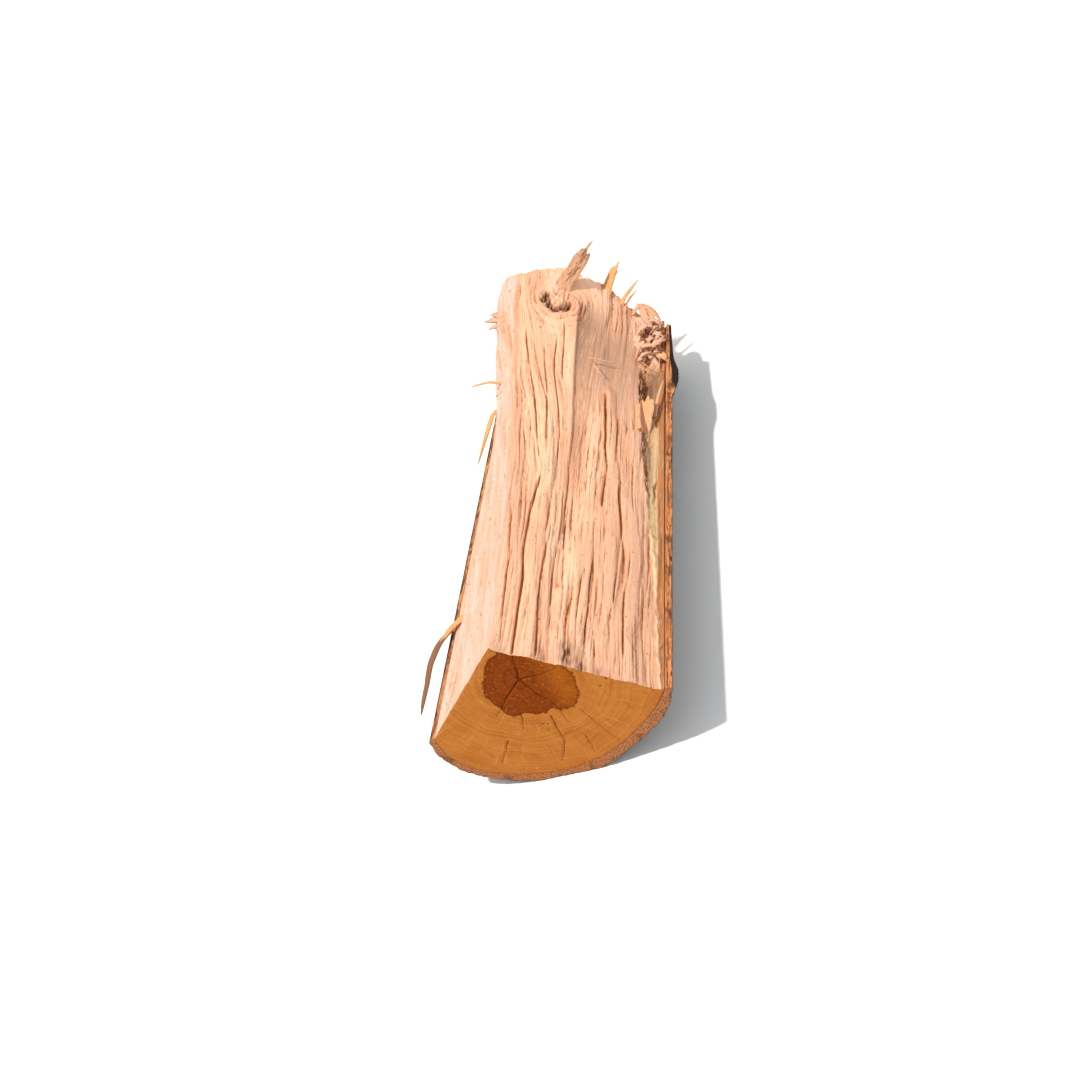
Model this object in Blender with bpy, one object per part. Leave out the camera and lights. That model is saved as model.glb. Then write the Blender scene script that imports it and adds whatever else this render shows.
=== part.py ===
"""A split log: a wedge riven from a round of wood, lying on its bark.

Two split faces meet in a ridge along the top, the third side is round and keeps its bark.
The log runs along +Y with its sawn end at -Y, and the origin is the middle of the flat strip
of bark that it lies on. Sections are drawn round the pith, the centre of the growth rings.
Every shape below is in metres; MM turns millimetres into metres.
"""

import math

import bmesh
import bpy
import numpy as np
from mathutils import Vector

MM = 0.001
LENGTH = 400 * MM
SAWN_END = -LENGTH / 2
PITH = np.array([6.5, 78.8]) * MM  # x and z of the pith line
BARK_GAP = 0.3 * MM  # the open crack between bark and wood
STRIP = (-24.0, 11.0)  # x of the two edges of the flat strip, from the pith
STRIP_DROP = 78.8  # how far the strip lies below the pith
OBLIQUE_CUT = 26 * MM  # how much shorter the log is along its right edge
STATIONS = 23  # sections along the log
BARK_STATIONS = 13

# Stops of the curves along the log: (y in m, value in mm). Values are measured from the pith.
RIDGE_X = ((-0.20, -5.0), (-0.09, -10.3), (-0.03, -16.2), (0.02, -19.5), (0.08, -26.5), (0.2, -31.0))
RIDGE_Z = ((-0.20, 26.2), (-0.03, 27.0), (0.02, 29.5), (0.08, 30.5), (0.15, 39.0), (0.2, 39.5))
LEFT_X = ((-0.20, -63.3), (0.10, -63.3), (0.2, -62.5))
LEFT_Z = ((-0.20, -28.0), (0.10, -28.0), (0.2, -25.0))
RIGHT_X = ((-0.20, 67.2), (-0.10, 66.6), (0.2, 64.3))
RIGHT_Z = ((-0.20, -29.6), (-0.10, -30.2), (0.2, -33.0))
LEFT_SWELL = ((-0.20, 0.4), (0.07, 0.6), (0.13, 7.0), (0.2, 12.0))
CREST = ((-0.20, 0.6), (-0.05, 1.2), (0.05, 4.0), (0.12, 8.0), (0.16, 12.0), (0.2, 12.0))
LEDGE_START = ((-0.20, 0.975), (-0.14, 0.965), (-0.03, 0.90), (0.05, 0.86), (0.2, 0.85))
LEDGE_DEPTH = ((-0.20, 0.4), (-0.13, 0.6), (-0.03, 2.5), (0.05, 5.0), (0.105, 8.0), (0.122, 2.5), (0.2, 1.5))
BARK_LUMP = ((-0.20, 0.0), (0.07, 0.0), (0.11, 5.0), (0.14, 1.0), (0.2, -1.0))

# Stops of the curves round the log: (angle in degrees, radius in mm).
WOOD_RADIUS = ((-156.1, 69.2), (-144, 76.4), (-133, 78.7), (-117, 76.7), (-93, 73.5), (-69.5, 70.6),
               (-52, 69.2), (-24, 73.5))
BARK_RADIUS = ((-156.6, 73.7), (-146, 81.3), (-134, 84.3), (-107, 82.4), (-82, 79.6), (-73, 78.6),
               (-63, 76.4), (-49, 76.3), (-38, 78.2), (-23, 77.7))

LEFT_FACE = (0.0, 0.2, 0.42, 0.64, 0.84, 0.95)  # shares of the way from the left edge to the ridge
RIGHT_FACE = (0.08, 0.18, 0.30, 0.43, 0.56, 0.70, 0.85)  # shares of the way from the ridge to the ledge
ROUND_SIDE = (-31, -40, -50, -61, -73, -82.1, -106.9, -115, -124, -134, -143, -150)  # degrees
LEFT_EDGE_ANGLE = -156.1
RIGHT_EDGE_ANGLE = -23.5
CREST_AT = 0.34  # where the right face stands highest, as a share of its width
RISE_TO_CREST, FALL_FROM_CREST = 1.2, 2.3  # how sharply it rises to there and falls from it


def smooth(stops, at):
    """The value at a place between stops, on a curve that has no overshoot."""
    places, values = (np.array(column, float) for column in zip(*stops))
    slopes = np.diff(values) / np.diff(places)
    tangents = np.zeros(len(values))
    rising = slopes[:-1] * slopes[1:] > 0
    tangents[1:-1][rising] = 2 * (slopes[:-1] * slopes[1:])[rising] / (slopes[:-1] + slopes[1:])[rising]
    tangents[0], tangents[-1] = slopes[0], slopes[-1]
    i = int(np.clip(np.searchsorted(places, at) - 1, 0, len(slopes) - 1))
    span = places[i + 1] - places[i]
    s = min(max((at - places[i]) / span, 0.0), 1.0)
    return (
        (2 * s**3 - 3 * s**2 + 1) * values[i]
        + (s**3 - 2 * s**2 + s) * span * tangents[i]
        + (3 * s**2 - 2 * s**3) * values[i + 1]
        + (s**3 - s**2) * span * tangents[i + 1]
    )


def polar(stops, degrees, extra=0.0):
    """A point round the pith, in mm, at the radius that the stops give."""
    radius = smooth(stops, degrees) + extra
    turn = math.radians(degrees)
    return np.array([radius * math.cos(turn), radius * math.sin(turn)])


def corners(y):
    """Left edge, ridge and right edge of the wood at y, in mm from the pith."""
    return (
        np.array([smooth(LEFT_X, y), smooth(LEFT_Z, y)]),
        np.array([smooth(RIDGE_X, y), smooth(RIDGE_Z, y)]),
        np.array([smooth(RIGHT_X, y), smooth(RIGHT_Z, y)]),
    )


def raised(start, end, share, height):
    """A point on the line from start to end, lifted off it to the outside by height."""
    along = (end - start) / np.linalg.norm(end - start)
    return start + (end - start) * share + np.array([-along[1], along[0]]) * height


def left_face(y, share):
    left, ridge, _ = corners(y)
    return raised(left, ridge, share, smooth(LEFT_SWELL, y) * (1 - (2 * share - 1) ** 4))


def right_face(y, share):
    _, ridge, right = corners(y)
    before = share < CREST_AT
    rise = share / CREST_AT if before else (1 - share) / (1 - CREST_AT)
    shape = math.sin(rise * math.pi / 2) ** (RISE_TO_CREST if before else FALL_FROM_CREST)
    return raised(ridge, right, share, smooth(CREST, y) * shape)


def wood_section(y):
    """The outline of the wood at y, clockwise from the left edge over the ridge, in mm from the pith."""
    _, ridge, right = corners(y)
    edge = smooth(LEDGE_START, y)
    points = [left_face(y, share) for share in LEFT_FACE]
    points.append(ridge)
    points += [right_face(y, share * edge) for share in RIGHT_FACE]
    points.append(right_face(y, edge))
    points.append(raised(ridge, right, edge + 0.012, -smooth(LEDGE_DEPTH, y)))
    points.append(right)
    points += [polar(WOOD_RADIUS, degrees) for degrees in ROUND_SIDE]
    return np.array(points)


def bark_section(y):
    """The outline of the bark at y: its outside from right to left, then its inside back."""
    angles = (RIGHT_EDGE_ANGLE, *ROUND_SIDE, LEFT_EDGE_ANGLE)
    lump = smooth(BARK_LUMP, y)
    outside = [polar(BARK_RADIUS, d, lump * max(0.0, 1 - (d - RIGHT_EDGE_ANGLE) / -38)) for d in angles]
    outside[6:8] = [np.array([x, -STRIP_DROP]) for x in STRIP[::-1]]
    inside = [polar(WOOD_RADIUS, d, BARK_GAP / MM) for d in angles]
    return np.array(outside + inside[::-1])


def far_end(x):
    """The y of the far end at x, in mm from the pith: square across the middle, shorter at the right."""
    s = min(max((x - 22) / 40, 0.0), 1.0)
    return LENGTH / 2 - OBLIQUE_CUT * s * s * (3 - 2 * s)


def material(name, colour, roughness):
    made = bpy.data.materials.new(name)
    made.use_nodes = True
    shader = made.node_tree.nodes["Principled BSDF"]
    shader.inputs["Base Color"].default_value = (*colour, 1)
    shader.inputs["Roughness"].default_value = roughness
    shader.inputs["Metallic"].default_value = 0.0
    return made


def new_object(name, bm, made_of=None):
    """Turns a bmesh into an object with outward faces, smooth except at sharp edges."""
    bmesh.ops.recalc_face_normals(bm, faces=bm.faces)
    mesh = bpy.data.meshes.new(name)
    bm.to_mesh(mesh)
    bm.free()
    mesh.shade_smooth()
    mesh.set_sharp_from_angle(angle=math.radians(35))
    obj = bpy.data.objects.new(name, mesh)
    bpy.context.scene.collection.objects.link(obj)
    if made_of:
        mesh.materials.append(made_of)
    return obj


def bridge(bm, rings):
    """Joins each ring of vertices to the next with quads, all the way along."""
    for ring, following in zip(rings, rings[1:]):
        for i in range(len(ring)):
            j = (i + 1) % len(ring)
            bm.faces.new((ring[i], ring[j], following[j], following[i]))


def loft(section, stations, end_shrink):
    """A closed body through the sections at even stations, its far end following far_end."""
    bm = bmesh.new()
    rings = []
    for k in range(stations):
        share = k / (stations - 1)
        y = SAWN_END + LENGTH * share
        points = section(y)
        if k == stations - 1:
            middle = points.mean(axis=0)
            points = middle + (points - middle) * end_shrink
        ends = [SAWN_END + (far_end(x) - SAWN_END) * share for x, _ in points]
        rings.append([bm.verts.new((x * MM + PITH[0], end, z * MM + PITH[1]))
                      for (x, z), end in zip(points, ends)])
    bridge(bm, rings)
    bm.faces.new(rings[0])
    far = bm.faces.new(rings[-1])
    bmesh.ops.triangulate(bm, faces=[far])
    return bm


def strip_of_wood(name, path, widths, thickness, side):
    """A flat tapering splinter swept along its points. Widths and thickness are in mm."""
    path = [Vector(p) * MM for p in path]
    bm = bmesh.new()
    rings = []
    for i, (point, width) in enumerate(zip(path, widths)):
        run = (path[min(i + 1, len(path) - 1)] - path[max(i - 1, 0)]).normalized()
        across = (Vector(side) - run * run.dot(Vector(side))).normalized()
        up = run.cross(across)
        half, deep = width * MM / 2, min(thickness, width) * MM / 2
        corners_of = ((1, 0), (0.6, 1), (-0.6, 1), (-1, 0), (-0.6, -1), (0.6, -1))
        rings.append([bm.verts.new(point + across * a * half + up * b * deep) for a, b in corners_of])
    bridge(bm, rings)
    bm.faces.new(rings[0])
    bm.faces.new(rings[-1])
    return new_object(name, bm)


def join(obj, other):
    """Unites other with obj, so that they are one body."""
    other.hide_render = True
    other.display_type = "WIRE"
    union = obj.modifiers.new(other.name, "BOOLEAN")
    union.operation = "UNION"
    union.solver = "EXACT"
    union.object = other


def splinters():
    """The torn splinters that are still attached, each rooted a few mm inside the wood.

    Each has its points in mm, its width at each point, its thickness and the way its width runs.
    """
    across = (1, 0, 0)
    return [
        strip_of_wood("knot_spur", [(8.5, 163, 101), (14.5, 171, 105), (21, 179, 107.5), (28, 189, 109.5),
                                    (34, 199, 111.5)], [11, 10.5, 10, 8.5, 4.5], 5, across),
        strip_of_wood("spur_tip", [(31, 195, 110.5), (35.5, 201, 112), (38.5, 205, 113)],
                      [4, 2.4, 1], 1.8, across),
        strip_of_wood("broad_chip", [(34, 182, 74.5), (37, 188, 79), (42.5, 196, 84), (49.3, 204, 90)],
                      [8, 8, 7.5, 6.5], 2.2, across),
        strip_of_wood("fork_long", [(43, 174, 65), (46, 178, 70), (52.5, 184, 73.5), (60.5, 192, 76)],
                      [4, 4, 3, 1], 2, across),
        strip_of_wood("fork_short", [(45, 175, 65), (52, 182, 69), (58, 187, 71)],
                      [3, 2, 0.9], 1.5, across),
        strip_of_wood("left_tuft", [(-35, 160, 95), (-44, 160, 98.5), (-52, 160, 100)],
                      [15, 11, 2], 3, (0, 1, 0)),
        strip_of_wood("left_needle", [(-37, 100, 78), (-51, 100, 84), (-62.5, 100, 84.7)],
                      [3, 2.4, 0.9], 1.2, (0, 1, 0)),
        strip_of_wood("left_sliver", [(-48, 97, 63), (-53, 90, 63.5), (-58, 75, 59.5), (-64.5, 46, 53.5)],
                      [4, 4, 3.5, 1], 1.5, across),
        strip_of_wood("hanging_strip", [(-51, -108, 52.5), (-59, -118, 53.5), (-64, -132, 55.5),
                                        (-66, -146.5, 56), (-67, -160.5, 54), (-68.5, -171, 51.8),
                                        (-70.5, -179, 48.5)],
                      [6, 6, 4.6, 3.6, 3.2, 2.4, 0.9], 1.8, across),
        strip_of_wood("torn_flap", [(57, 20, 47), (60, 46, 54), (65, 62, 58)],
                      [9, 13, 11], 2, across),
        strip_of_wood("crown_curl", [(49, 167, 58), (56, 175, 64.5), (65, 173, 60), (70, 162, 51)],
                      [6, 7, 6, 3], 2, (0, 1, 0)),
        strip_of_wood("crown_spike", [(61, 154, 50), (60, 166, 58), (57, 177, 65.5)],
                      [6, 5, 2.5], 2.4, across),
    ]


def wood():
    body = new_object("split_wood", loft(wood_section, STATIONS, 0.96),
                      material("split_wood", (0.85, 0.55, 0.32), 0.7))
    for splinter in splinters():
        join(body, splinter)
    return body


def bark():
    return new_object("bark", loft(bark_section, BARK_STATIONS, 1.0),
                      material("bark", (0.14, 0.09, 0.055), 0.9))


def loose_straw(name, ends, widths):
    """A loose straw of wood that lies on the right split face, given by (y in m, share) at its ends."""
    clear = BARK_GAP + widths[0] * MM / 2
    path = []
    for y, share in (ends[0], ends[1]):
        _, ridge, right = corners(y)
        normal = raised(ridge, right, share, 1.0) - raised(ridge, right, share, 0.0)
        x, z = (right_face(y, share) + normal * (clear / MM)) * MM + PITH
        path.append((x / MM, y / MM, z / MM))
    straw = strip_of_wood(name, path, widths, widths[0], (0, 1, 0))
    straw.data.materials.append(material(name, (0.80, 0.48, 0.24), 0.6))
    return straw


def main():
    for obj in list(bpy.data.objects):
        bpy.data.objects.remove(obj, do_unlink=True)
    wood()
    bark()
    loose_straw("loose_straw_long", ((0.089, 0.50), (0.093, 0.68)), (1.6, 1.0))
    loose_straw("loose_straw_short", ((0.084, 0.53), (0.073, 0.60)), (1.3, 0.9))


main()
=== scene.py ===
# %% [markdown] # A split log A log that was split with a maul has three very different skins:
# the riven faces, where the wood tore along its fibres, the sawn ends, which show rings and
# heartwood, and the bark. Each skin gets its own mesh detail and its own procedural material
# here.

# %% Load the frame
import math

import bpy
import numpy as np
from mathutils import Euler, Matrix, Vector
from mathutils.geometry import delaunay_2d_cdt

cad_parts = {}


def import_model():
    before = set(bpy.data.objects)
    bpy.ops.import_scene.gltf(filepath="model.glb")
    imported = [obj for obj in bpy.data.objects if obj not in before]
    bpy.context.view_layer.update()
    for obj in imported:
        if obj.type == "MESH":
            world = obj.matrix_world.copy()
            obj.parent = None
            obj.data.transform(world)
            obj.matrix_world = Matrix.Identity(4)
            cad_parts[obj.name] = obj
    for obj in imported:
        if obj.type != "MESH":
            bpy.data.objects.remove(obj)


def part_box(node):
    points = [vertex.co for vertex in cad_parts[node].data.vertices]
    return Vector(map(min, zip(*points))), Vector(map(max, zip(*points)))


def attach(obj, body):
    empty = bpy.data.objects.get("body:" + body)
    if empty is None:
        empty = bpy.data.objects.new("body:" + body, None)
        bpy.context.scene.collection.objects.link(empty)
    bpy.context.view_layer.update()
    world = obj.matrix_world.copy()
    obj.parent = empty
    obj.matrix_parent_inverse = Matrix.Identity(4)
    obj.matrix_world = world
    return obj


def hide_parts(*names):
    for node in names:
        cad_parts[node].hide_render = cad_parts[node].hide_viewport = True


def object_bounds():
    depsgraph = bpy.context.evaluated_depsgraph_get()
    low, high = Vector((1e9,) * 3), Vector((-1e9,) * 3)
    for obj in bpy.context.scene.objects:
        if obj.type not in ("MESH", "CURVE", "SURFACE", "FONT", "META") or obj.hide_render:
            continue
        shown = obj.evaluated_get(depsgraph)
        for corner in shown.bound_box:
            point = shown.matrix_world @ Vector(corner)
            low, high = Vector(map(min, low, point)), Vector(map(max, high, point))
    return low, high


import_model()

cad_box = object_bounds()
bark_low, bark_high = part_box("bark")
MM = 0.001
LENGTH = (bark_high.y - bark_low.y) / MM
PITH = np.array([6.5, 78.8])  # x and z of the centre of the rings, in mm
print(f"the log is {LENGTH:.0f} mm long, its box {[round(v, 3) for v in cad_box[1] - cad_box[0]]}")

# %% [markdown]
# ## Curves along the log
# The log isn't a prism: its ridge wanders, a knot swells the far end, and its right edge is
# stepped down where a slab broke away. A modeller could push vertices about by hand, but a
# handful of stops joined by a smooth curve is easier to read and to change. All measures are
# in mm, and `along` is the distance from the sawn end.

# %% A smooth curve through stops
def smooth(stops, at):
    """Values on a curve through (place, value) stops that never overshoots them."""
    places, values = np.array(stops, float).T
    slopes = np.diff(values) / np.diff(places)
    product = slopes[:-1] * slopes[1:]
    tangents = np.zeros(len(values))
    tangents[0], tangents[-1] = slopes[0], slopes[-1]
    rising = product > 0
    tangents[1:-1][rising] = 2 * product[rising] / (slopes[:-1] + slopes[1:])[rising]
    at = np.clip(np.asarray(at, float), places[0], places[-1])
    i = np.clip(np.searchsorted(places, at) - 1, 0, len(slopes) - 1)
    span = places[i + 1] - places[i]
    s = (at - places[i]) / span
    return ((2 * s**3 - 3 * s**2 + 1) * values[i] + (s**3 - 2 * s**2 + s) * span * tangents[i]
            + (3 * s**2 - 2 * s**3) * values[i + 1] + (s**3 - s**2) * span * tangents[i + 1])


def ease(value, low, high):
    """0 below low, 1 above high, and a smooth rise between."""
    s = np.clip((value - low) / (high - low), 0, 1)
    return s * s * (3 - 2 * s)

# %% How the log's edges run, in mm from the pith
RIDGE_X = ((0, -5.0), (110, -10.3), (170, -16.2), (220, -19.5), (280, -26.5), (400, -31.0))
RIDGE_Z = ((0, 26.2), (170, 27.0), (220, 29.5), (280, 30.5), (350, 39.0), (400, 39.5))
LEFT_X = ((0, -63.3), (300, -63.3), (400, -62.5))
LEFT_Z = ((0, -28.0), (300, -28.0), (400, -25.0))
RIGHT_X = ((0, 67.2), (100, 66.6), (400, 64.3))
RIGHT_Z = ((0, -29.6), (100, -30.2), (400, -33.0))
LEFT_SWELL = ((0, 0.4), (270, 0.6), (330, 7.0), (400, 12.0))
CREST = ((0, 0.6), (150, 1.2), (250, 4.0), (320, 8.0), (360, 12.0), (400, 12.0))
LEDGE_START = ((0, 0.975), (60, 0.965), (170, 0.90), (250, 0.86), (400, 0.85))
LEDGE_DEPTH = ((0, 0.4), (70, 0.6), (170, 2.5), (250, 5.0), (305, 8.0), (322, 2.5), (400, 1.5))
BARK_LUMP = ((0, 0.0), (290, 0.0), (325, 5.0), (350, 1.0), (400, -1.0))
WOOD_RADIUS = ((-156.1, 69.2), (-144, 76.4), (-133, 78.7), (-117, 76.7), (-93, 73.5), (-69.5, 70.6),
               (-52, 69.2), (-24, 73.5))
BARK_RADIUS = ((-156.6, 73.7), (-146, 81.3), (-134, 84.3), (-107, 82.4), (-82, 79.6), (-73, 78.6),
               (-63, 76.4), (-49, 76.3), (-38, 78.2), (-23, 77.7))
CREST_AT = 0.34  # share of the right face's width where it stands highest
RISE_TO_CREST, FALL_FROM_CREST = 1.2, 2.3  # how sharply the face rises to it and falls again
OBLIQUE_CUT = 26  # how much shorter the far end is at the right
STRIP_DROP = PITH[1]  # how far the flat strip of bark lies below the pith
RIGHT_EDGE_ANGLE = -23.5  # both edges of the bark, in degrees round the pith
LEFT_EDGE_ANGLE = -156.1
print(f"the wood is {RIGHT_X[0][1] - LEFT_X[0][1]:.0f} mm wide at the sawn end")

# %% Points of the wood's outline
def point(x, z):
    """Points of a section from their x and their z."""
    return np.stack(np.broadcast_arrays(x, z), axis=-1)


def corners(along):
    """Left edge, ridge and right edge of the wood, in mm from the pith."""
    return (point(smooth(LEFT_X, along), smooth(LEFT_Z, along)),
            point(smooth(RIDGE_X, along), smooth(RIDGE_Z, along)),
            point(smooth(RIGHT_X, along), smooth(RIGHT_Z, along)))


def raised(start, end, share, height):
    """Points on the line from start to end, lifted off it to the outside."""
    run = end - start
    run = run / np.linalg.norm(run, axis=-1, keepdims=True)
    off = np.stack([-run[..., 1], run[..., 0]], axis=-1)
    return start + (end - start) * np.asarray(share)[..., None] + off * np.asarray(height)[..., None]


def left_face(along, share):
    left, ridge, _ = corners(along)
    return raised(left, ridge, share, smooth(LEFT_SWELL, along) * (1 - (2 * share - 1) ** 4))


def right_face(along, share):
    _, ridge, right = corners(along)
    before = share < CREST_AT
    rise = np.where(before, share / CREST_AT, (1 - share) / (1 - CREST_AT))
    shape = np.sin(np.clip(rise, 0, 1) * np.pi / 2) ** np.where(before, RISE_TO_CREST, FALL_FROM_CREST)
    return raised(ridge, right, share, smooth(CREST, along) * shape)


def polar(stops, degrees, extra=0.0):
    radius = smooth(stops, degrees) + extra
    return point(radius * np.cos(np.radians(degrees)), radius * np.sin(np.radians(degrees)))


def far_end(x):
    """How far along the far end is at x: square across the middle, shorter at the right."""
    return LENGTH - OBLIQUE_CUT * ease(x, 22, 62)


def world(section, along):
    """Points in metres in the log's frame, from points of the section and distances along it."""
    return np.stack([(section[..., 0] + PITH[0]) * MM, bark_low.y + along * MM,
                     (section[..., 1] + PITH[1]) * MM], axis=-1)


print(f"halfway along, the ridge is at {world(corners(np.array(200.0))[1], 200.0).round(3)} m")

# %% [markdown]
# ## Noise that follows the grain
# Split wood has no random lumps: everything on it is stretched along the fibres. Blender's own
# noise could displace a mesh through a modifier, but then nothing else would know where a
# groove runs. So the relief is worked out here, on arrays, from a small gradient noise whose
# two coordinates are the place across the grain and the place along it.

# %% Gradient noise on arrays
def noise(x, y, seed=0):
    """Smooth noise, about -1 to 1, that changes over a distance of 1."""
    x, y = np.broadcast_arrays(np.asarray(x, float), np.asarray(y, float))
    x0, y0 = np.floor(x), np.floor(y)
    fx, fy = x - x0, y - y0

    def pull(dx, dy):
        turn = np.sin((x0 + dx) * 127.1 + (y0 + dy) * 311.7 + seed * 74.7) * 43758.5453
        turn = (turn - np.floor(turn)) * 2 * np.pi
        return np.cos(turn) * (fx - dx) + np.sin(turn) * (fy - dy)

    wx = fx * fx * fx * (fx * (fx * 6 - 15) + 10)
    wy = fy * fy * fy * (fy * (fy * 6 - 15) + 10)
    low = pull(0, 0) * (1 - wx) + pull(1, 0) * wx
    high = pull(0, 1) * (1 - wx) + pull(1, 1) * wx
    return (low * (1 - wy) + high * wy) * 1.5


def terrace(value, height, edge=0.18):
    """Turns a slope into treads with steep edges, as where layers of wood broke off."""
    level = value / height
    tread = np.floor(level)
    return height * (tread + ease(level - tread, 1 - edge, 1))


print(f"noise between four of its corners: {noise(1.5, 2.5):.2f}")

# %% Lines along the grain
def seam(across, along, route, width):
    """1 on a line through (along, across) stops, falling to 0 at width from it."""
    first, last = route[0][0], route[-1][0]
    off = np.abs(across - smooth(route, along)) / width
    fade = ease(along, first - 6, first + 6) * (1 - ease(along, last - 6, last + 6))
    return np.clip(1 - off, 0, 1) * fade


def side_of(across, along, route, width):
    """0 left of a line and 1 right of it, with a rise of width, only along the line's length."""
    first, last = route[0][0], route[-1][0]
    fade = ease(along, first - 25, first + 15) * (1 - ease(along, last - 20, last + 30))
    return ease(across - smooth(route, along), -width / 2, width / 2) * fade


print(f"halfway to its edge a seam is {seam(1.0, 50.0, ((0, 0), (100, 0)), 2.0):.1f} strong")

# %% [markdown]
# ## The relief of the riven faces
# A maul opens the wood along its fibres, which waver, so the face is a bundle of long strands,
# each torn off at a level of its own, with fine cracks between them. A sculptor could carve
# them one by one. Here a formula does it, in the order in which the wood tears: first the
# fibres' own wavering course, then strands of three widths, ridges of five sizes and cracks.
# The few big features of this log are added last, each as a named line along the grain.

# %% The big features, as (along, across) stops in mm
KNOT_ACROSS, KNOT_ALONG, KNOT_SIZE = 8.0, 350.0, 11.5
CREST_STEP = ((25, 28.3), (68, 28.0), (103, 29.3), (142, 31.1), (193, 30.8), (235, 29.0), (318, 25.0),
              (345, 24.0))
WAVY_CRACK = ((2, 12.6), (30, 12.3), (58, 12.3), (86, 10.7), (112, 11.2), (153, 14.3))
UPPER_CRACKS = (((172, 12.9), (206, 7.0), (252, 0.5), (312, -8.8)),
                ((190, 14.5), (208, 12.6), (254, 9.5), (296, 4.6)),
                ((195, 23.5), (210, 21.5), (255, 15.6), (303, 11.6)), ((262, 20.5), (300, 17.0), (326, 13.0)))
OPEN_GROOVE = ((140, 54.6), (171, 55.7), (212, 53.1), (262, 51.0))
FRONT_CRACKS = (((10, 3.1), (36, 2.1), (66, 1.8), (120, -2.0)), ((24, 49.5), (59, 49.3), (88, 50.5)),
                ((60, 64.5), (120, 66.0), (165, 63.5)), ((5, 23.0), (50, 21.0), (95, 22.5)),
                ((20, 70.0), (60, 70.5), (110, 72.0)))
TONGUES = (((54, 58.9), (106, 62.1), (142, 58.7), (186, 57.6)), ((50, 75.0), (110, 72.8), (158, 68.3)),
           ((5, 33.9), (30, 32.4), (54, 35.6), (73, 40.0), (96, 42.9)), ((172, 56), (230, 54.5), (268, 53.5)))
# Each stain is its place along and across, its width and its strength.
STAINS = ((7, 39.0, 3.6, 1.3), (3, 47.5, 3.4, 1.2), (3, 27, 4.0, 0.6), (2, 57, 2.5, 0.6), (2, 5.9, 3.0, 0.5),
          (15, 40.5, 2.4, 0.8))
LEFT_CRACKS = (((92, 64.0), (100, 66.0), (116, 70.0), (130, 71.5), (170, 70.5)),
               ((150, 8.0), (190, 5.5), (235, 4.0)), ((196, 18.0), (240, 22.0), (268, 24.5)),
               ((225, 42.0), (262, 45.5), (300, 47.0)), ((30, 18.0), (52, 19.0)), ((255, 58.0), (318, 60.0)),
               ((60, 40.0), (95, 43.0), (128, 42.0)), ((118, 26.0), (160, 27.5)), ((282, 22.0), (330, 25.0)))
print(f"{len(UPPER_CRACKS) + len(FRONT_CRACKS) + len(LEFT_CRACKS) + 2} large cracks have lines of their own")

# %% Fibres, strands and cracks
WAVER = ((1.7, 38, 95), (0.55, 14, 42), (0.16, 5, 12))  # sway, and its size across and along
RIDGE_SIZES = ((15, 210, 1.0), (6.5, 170, 0.4), (3.1, 120, 0.26), (1.7, 80, 0.2), (1.0, 40, 0.14))


def fibre_course(across, along, seed):
    """The place across the grain as the fibres see it, since they waver along the log."""
    course = across
    for k, (sway, size, run) in enumerate(WAVER):
        course = course + sway * noise(across / size, along / run, seed + k)
    return course


def strands(course, along, width, run, deep, seed):
    """Strands side by side, each at a level of its own that breaks off in steps along it."""
    swayed = course + 0.45 * width * noise(course / (2.7 * width), along / (2 * run), seed)
    lane = np.floor(swayed / width)
    level = terrace(1.6 * noise(lane * 3.71 + 0.4, along / run, seed + 1), 0.45, 0.07)
    crown = 1 - (2 * (swayed / width - lane) - 1) ** 2
    return deep * (level + 0.35 * crown)


def cracks(course, along, width, run, seed):
    """Thin cracks of one width, one to a lane of the grain, each open over part of its length."""
    spacing = 7 * width
    lane = np.floor(course / spacing)
    middle = (lane + 0.5 + 0.35 * noise(lane * 3.7 + 0.5, along / run, seed)) * spacing
    opened = ease(noise(lane * 5.3 + 0.5, along / run, seed + 1), 0.1, 0.45)
    return np.clip(1 - np.abs(course - middle) / width, 0, 1) * opened


def riven(course, along, seed):
    """Ridges, strands, torn steps and fine cracks of split wood, in mm, around zero."""
    relief = terrace(1.5 * noise(course / 12, along / 190, seed + 3), 0.7)
    torn_part = ease(noise(course / 17, along / 70, seed + 5), -0.3, 0.35)
    broad = strands(course, along, 7.0, 75, 0.75, seed + 20)
    relief += broad + strands(course, along, 2.9, 46, 0.55, seed + 23)
    relief += (0.4 + 0.6 * torn_part) * strands(course, along, 1.25, 24, 0.36, seed + 26)
    relief += torn_part * 0.3 * noise(course / 0.8, along / 6, seed + 7)
    for size, run, deep in RIDGE_SIZES:
        relief += deep * noise(course / size, along / run, seed + size)
    relief -= 1.3 * cracks(course, along, 0.75, 80, seed + 9)
    return relief - 0.7 * cracks(course, along, 0.5, 45, seed + 12)


print(f"fibres sway by up to {sum(sway for sway, size, run in WAVER):.1f} mm")

# %% [markdown]
# A knot is the foot of a branch. The trunk's fibres part before it and close behind it, and where
# the branch tore out they leave a dark hollow with a ragged edge. Its bowl could be cut with a
# Boolean, but then the grain would run straight through it. The formula for water that flows
# round a post bends the grain here, and the hollow is a ring of depth that noise breaks up.

# %% The knot
def around_knot(across, along):
    """Fibres part before a knot and close behind it, as water does round a post."""
    x, y = across - KNOT_ACROSS, (along - KNOT_ALONG) * 0.85
    far = np.maximum(np.hypot(x, y), KNOT_SIZE)
    return KNOT_ACROSS + x * (1 - (KNOT_SIZE / far) ** 2)


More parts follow.
